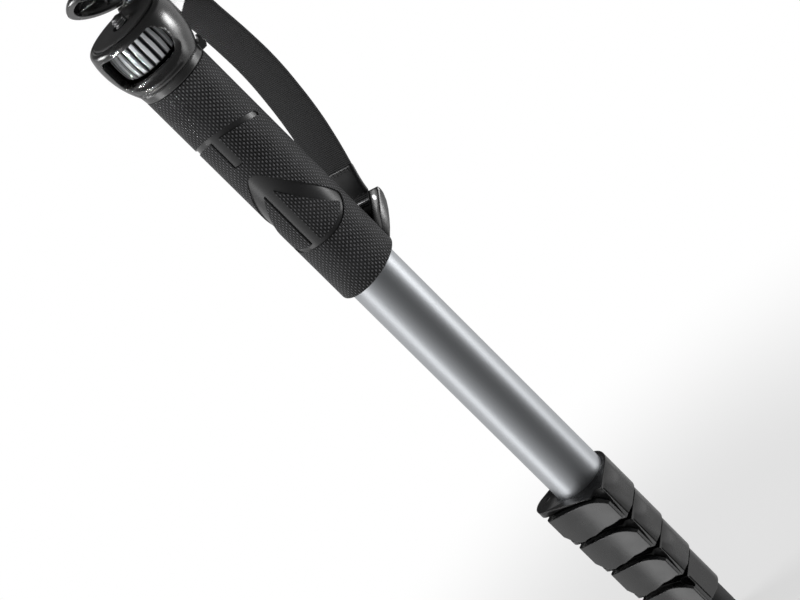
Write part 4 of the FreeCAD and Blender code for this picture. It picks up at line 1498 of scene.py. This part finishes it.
@dataclass
class StrapAnchor:
    """The strap's anchor at the foot of the grip: two cheeks under a smooth, round-sided cap.

    Outlines are (distance from the column's axis, height) in millimetres, in the strap's plane.

    Args:
        plane: The strap's plane.
        half_width: Half its width over the cap.
        cheek: Distance from the cap's side to a cheek's inner side.
        inset: How far the cheeks' outer sides stay inside the cap's.
        lap: How far the floor reaches into the cheeks.
        cheek_outline: Outline of a cheek.
        floor_outline: Outline of the floor between the cheeks.
        cap_outline: Outline of the cap, the outer side last.
        outer_side: How many points at the end of the cap's outline lie on its outer side.
        round_side: Radius of the cap's long outer edges.
    """

    plane: StrapPlane = StrapPlane()
    half_width: float = 12.6 * MM
    cheek: float = 1.6 * MM
    inset: float = 0.2 * MM
    lap: float = 0.1 * MM
    cheek_outline: tuple[Corner, ...] = (
        (10.4, 251.0), (18.5, 257.6), (25.6, 262.2), (26.2, 263.4), (21.2, 265.9), (10.4, 257.0),
    )
    floor_outline: tuple[Corner, ...] = (
        (13.6, 252.0), (20.5, 257.0), (23.0, 259.8), (17.1, 257.6), (17.0, 262.0), (13.6, 260.0),
    )
    cap_outline: tuple[Corner, ...] = (
        (10.4, 252.0), (15.0, 255.6), (20.0, 259.2), (24.6, 262.3), (25.9, 263.9),
        (26.8, 263.5), (27.4, 261.2), (26.8, 258.9), (25.0, 256.2), (22.2, 253.6),
        (18.5, 251.0), (15.2, 249.0), (10.4, 246.6),
    )
    outer_side: int = 7
    round_side: float = 3.0 * MM

    def wall(
        self, name: str, outline: Sequence[Corner], near: float, far: float
    ) -> bpy.types.Object:
        """Models a slab of an outline between two distances from the strap's plane.

        Args:
            name: Its name.
            outline: Its outline.
            near: The first distance.
            far: The second distance.

        Returns:
            The slab.
        """
        corners = [self.plane.spot(reach, height, near) for reach, height in outline]
        return slab(name, corners, self.plane.beside * (far - near))

    def cap(self) -> bpy.types.Object:
        """Models the cap, with its long outer edges rounded well over.

        Returns:
            The cap.
        """
        cap = self.wall("anchor_cap", self.cap_outline, -self.half_width, self.half_width)
        outer = [self.plane.spot(*corner) for corner in self.cap_outline[-self.outer_side:]]
        middles = [(before + after) / 2 for before, after in zip(outer, outer[1:])]
        beside = self.plane.beside

        def on_outer_edge(centre: Vector, along: Vector) -> bool:
            """Tells the long outer edges from the rest.

            Args:
                centre: An edge's middle.
                along: Its direction.

            Returns:
                Whether it runs along the outline's outer side, and not across the cap.
            """
            if abs(along.dot(beside)) > 0.5:
                return False
            flat = centre - beside * centre.dot(beside)
            return any((flat - middle).length < 1e-5 for middle in middles)

        with whole_mesh(cap):
            pick_edges(cap, on_outer_edge)
            bpy.ops.mesh.bevel(
                offset=self.round_side, segments=8, affect="EDGES", clamp_overlap=True
            )
        soften(cap, width=0.3 * MM, segments=2, angle=40.0)
        return finish_mesh(cap, angle=40.0)

    def cheeks(self) -> bpy.types.Object:
        """Models the two cheeks and the floor between them.

        Returns:
            The cheeks as one piece.
        """
        inner = self.half_width - self.cheek
        outer = self.half_width - self.inset
        parts = [
            self.wall("anchor_cheeks", self.cheek_outline, -outer, -inner),
            self.wall("anchor_far_cheek", self.cheek_outline, inner, outer),
            self.wall("anchor_floor", self.floor_outline, -inner - self.lap, inner + self.lap),
        ]
        for part in parts:
            soften(part, width=0.25 * MM, segments=2, angle=30.0)
            finish_mesh(part, angle=40.0)
        only(*parts)
        bpy.ops.object.join()
        return parts[0]

    def build(self, wardrobe: Wardrobe) -> list[bpy.types.Object]:
        """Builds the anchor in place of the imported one.

        Args:
            wardrobe: The finishes.

        Returns:
            Its pieces.
        """
        cap = self.cap()
        cheeks = self.cheeks()
        wardrobe.dress(cap, Slot.CLAMP, CAP_FINISH)
        wardrobe.dress(cheeks, Slot.CLAMP)
        for piece in (cap, cheeks):
            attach(piece, "column")
            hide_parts("strap_anchor")
        return [cap, cheeks]


@dataclass
class WristStrap:
    """The wrist strap: webbing between two bars, with a smooth tab sewn over its lower end, whose
    darker black is painted shade of the strap's inner side.

    Args:
        plane: The strap's plane.
        width: Width of the webbing.
        narrow: Its width at the lower pin.
        taper: Heights in millimetres between which it narrows, under its tab.
        thickness: Thickness of the webbing.
        bar: The upper bar's distance from the column's axis, and its height, in millimetres.
        pin: The same of the lower pin.
        wrap: Radius of the webbing's middle line round a bar, in millimetres.
        route: The middle line from bar to pin, as (distance from the axis, height), in millimetres.
        across: Steps over its width.
        along: Points of its even middle line.
        tab_reach: Least distance of the tab from the column's axis, in millimetres.
        tab_extra: How much wider and how much thicker the tab is than the webbing.
        seam_rows: Where the rows of stitches cross the tab, as shares of its length.
        seam_lift: Height of the stitches over the webbing's face.
        stitch_count: Stitches in a row.
        stitch_share: Share of the webbing's width that a row takes up.
        stitch_size: Half a stitch's length, width and height.
    """

    plane: StrapPlane = StrapPlane()
    width: float = 21.0 * MM
    narrow: float = 20.0 * MM
    taper: Corner = (279.5, 264.5)
    thickness: float = 1.35 * MM
    bar: Corner = (25.2, 385.5)
    pin: Corner = (20.6, 262.5)
    wrap: float = 2.1
    route: tuple[Corner, ...] = (
        (29.5, 387.9), (33.6, 383.8), (36.2, 376.0), (37.5, 365.0), (39.2, 347.0), (39.5, 333.0),
        (38.0, 318.0), (34.9, 301.8), (32.6, 294.0), (29.8, 286.0), (26.6, 278.0), (23.6, 269.0),
    )
    across: int = 12
    along: int = 150
    tab_reach: float = 22.2
    tab_extra: Corner = (0.8 * MM, 0.9 * MM)
    seam_rows: Corner = (0.08, 0.2)
    seam_lift: float = 0.45 * MM
    stitch_count: int = 8
    stitch_share: float = 0.88
    stitch_size: Triple = (0.756 * MM, 0.28 * MM, 0.24 * MM)

    def width_at(self, height: float) -> float:
        """Width of the strap.

        Args:
            height: Where, in millimetres.

        Returns:
            The width there.
        """
        high, low = self.taper
        share = min(1.0, max(0.0, (high - height) / (high - low)))
        return self.width + (self.narrow - self.width) * share

    def lap(self, centre: Corner, angles: range) -> list[Corner]:
        """Lays the middle line round a bar.

        Args:
            centre: The bar's distance from the column's axis, and its height, in millimetres.
            angles: Angles of the points in degrees, from the bar's outward side.

        Returns:
            The points.
        """
        turns = [math.radians(angle) for angle in angles]
        return [
            (centre[0] + self.wrap * math.cos(turn), centre[1] + self.wrap * math.sin(turn))
            for turn in turns
        ]

    def line(self) -> list[Vector]:
        """Gives even points along the whole webbing: round the bar, down and round the pin.

        Returns:
            Points of the middle line as (reach, height, 0), in millimetres.
        """
        upper = self.lap(self.bar, range(-150, 91, 20))
        lower = self.lap(self.pin, range(0, -211, -20))
        points = [(*corner, 0.0) for corner in (*upper, *self.route, *lower)]
        curve = bpy.data.curves.new("strap_line", "CURVE")
        curve.dimensions = "3D"
        curve.resolution_u = 24
        spline = curve.splines.new("BEZIER")
        spline.bezier_points.add(len(points) - 1)
        for knot, point in zip(spline.bezier_points, points):
            knot.co = point
            knot.handle_left_type = knot.handle_right_type = "AUTO"
        holder = bpy.data.objects.new("strap_line", curve)
        mesh = bpy.data.meshes.new_from_object(holder)
        dense = [vertex.co.copy() for vertex in mesh.vertices]
        bpy.data.objects.remove(holder)
        bpy.data.curves.remove(curve)
        bpy.data.meshes.remove(mesh)
        reached = distances(dense)
        even: list[Vector] = []
        at = 0
        for step in range(self.along):
            goal = reached[-1] * step / (self.along - 1)
            while at < len(dense) - 2 and reached[at + 1] < goal:
                at += 1
            run = max(reached[at + 1] - reached[at], 1e-9)
            even.append(dense[at].lerp(dense[at + 1], (goal - reached[at]) / run))
        return even

    def strip(
        self, name: str, line: Sequence[Vector], extra: float, thickness: float
    ) -> bpy.types.Object:
        """Makes a strip of webbing along a line, with its map in metres.

        Args:
            name: The piece's name.
            line: Its middle line as (reach, height, 0), in millimetres.
            extra: How much wider it is than the strap.
            thickness: Its thickness.

        Returns:
            The strip, a closed shell with round selvedges.
        """
        rows = len(line) - 1
        operator = bpy.ops.mesh.primitive_grid_add
        strip = primitive(name, operator, x_subdivisions=self.across, y_subdivisions=rows, size=1.0)
        layer = strip.data.uv_layers.active
        layer.name = "along"
        gone = distances(line)
        for loop, corner in zip(strip.data.loops, layer.data):
            flat = strip.data.vertices[loop.vertex_index].co
            corner.uv = (flat.x * self.width, gone[round((flat.y + 0.5) * rows)] * MM)
        for vertex in strip.data.vertices:
            reach, height, _ = line[round((vertex.co.y + 0.5) * rows)]
            side = vertex.co.x * (self.width_at(height) + extra)
            vertex.co = self.plane.spot(reach, height, side)
        body = strip.modifiers.new("thickness", "SOLIDIFY")
        body.thickness = thickness
        body.offset = 0.0
        body.use_even_offset = True
        soften(strip, width=thickness * 0.42, segments=3, angle=50.0)
        apply_modifiers(strip)
        bpy.ops.object.shade_smooth_by_angle(angle=math.radians(50))
        return strip

    def stitches(self, name: str, line: Sequence[Vector]) -> bpy.types.Object:
        """Makes the rows of sewn stitches across the tab.

        Args:
            name: The piece's name.
            line: The tab's middle line.

        Returns:
            All the stitches as one mesh.
        """
        operator = bpy.ops.mesh.primitive_uv_sphere_add
        model = primitive(name + "_model", operator, segments=8, ring_count=6, radius=1.0)
        bpy.ops.object.shade_smooth()
        made: list[bpy.types.Object] = []
        beside = self.plane.beside
        scale = Matrix.Diagonal((*self.stitch_size, 1.0))
        for share in self.seam_rows:
            at = int(share * (len(line) - 1))
            here, after = line[at], line[at + 1]
            along = (self.plane.spot(*after.xy) - self.plane.spot(*here.xy)).normalized()
            out = along.cross(beside).normalized()
            basis = Matrix((beside, along, out)).transposed().to_4x4()
            lift = out * -(self.thickness * 0.5 + self.seam_lift)
            for step in range(self.stitch_count):
                share_across = (step - (self.stitch_count - 1) / 2) / self.stitch_count
                side = share_across * self.width * self.stitch_share
                stitch = model.copy()
                stitch.data = model.data.copy()
                bpy.context.scene.collection.objects.link(stitch)
                centre = self.plane.spot(*here.xy, side) + lift
                stitch.matrix_world = Matrix.Translation(centre) @ basis @ scale
                made.append(stitch)
        bpy.data.objects.remove(model)
        only(*made)
        bpy.ops.object.join()
        seam = settle(bpy.context.active_object)
        seam.name = name
        return seam

    def build(self, wardrobe: Wardrobe) -> list[bpy.types.Object]:
        """Builds the strap with its tab and seam.

        Args:
            wardrobe: The finishes.

        Returns:
            Its pieces.
        """
        line = self.line()
        webbing = self.strip("wrist_webbing", line, 0.0, self.thickness)
        wardrobe.dress(webbing, Slot.WEBBING)
        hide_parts("wrist_strap")
        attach(webbing, "column")
        length = distances(line)[-1] * MM
        high, low = self.taper
        tab_line = [spot for spot in line if low < spot.y < high and spot.x > self.tab_reach]
        wider, thicker = self.tab_extra
        tab = self.strip("strap_tab", tab_line, wider, self.thickness + thicker)
        # The tab gets a darker black than the webbing, as painted shade of the strap's inner side.
        wardrobe.dress(tab, Slot.WEBBING, TAB_SHADE_FINISH)
        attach(tab, "column")
        seam = self.stitches("strap_seam", tab_line)
        wardrobe.dress(seam, Slot.WEBBING, THREAD_FINISH)
        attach(seam, "column")
        return [webbing, tab, seam]


def main() -> None:
    """Builds the studio and every dressed piece in order."""
    logging.basicConfig(level=logging.INFO, format="%(name)s: %(message)s")
    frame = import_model()
    bpy.ops.object.select_all(action="DESELECT")
    Studio().build()
    LOG.info("studio set")
    wardrobe = Wardrobe()
    slots = {row["node"]: row["material_slot"] for row in frame["record"]["subparts"]}
    CadNodes(frame["nodes"], slots).dress(wardrobe)
    LOG.info("dressed %d packed nodes", len(slots))
    builders = (HeadHousing(), CollarGaps(), CameraScrew(), Grip(), StrapAnchor(), WristStrap())
    for builder in builders:
        for piece in builder.build(wardrobe):
            LOG.info("%s: %d faces", piece.name, len(piece.data.polygons))


if __name__ == "__main__":
    main()
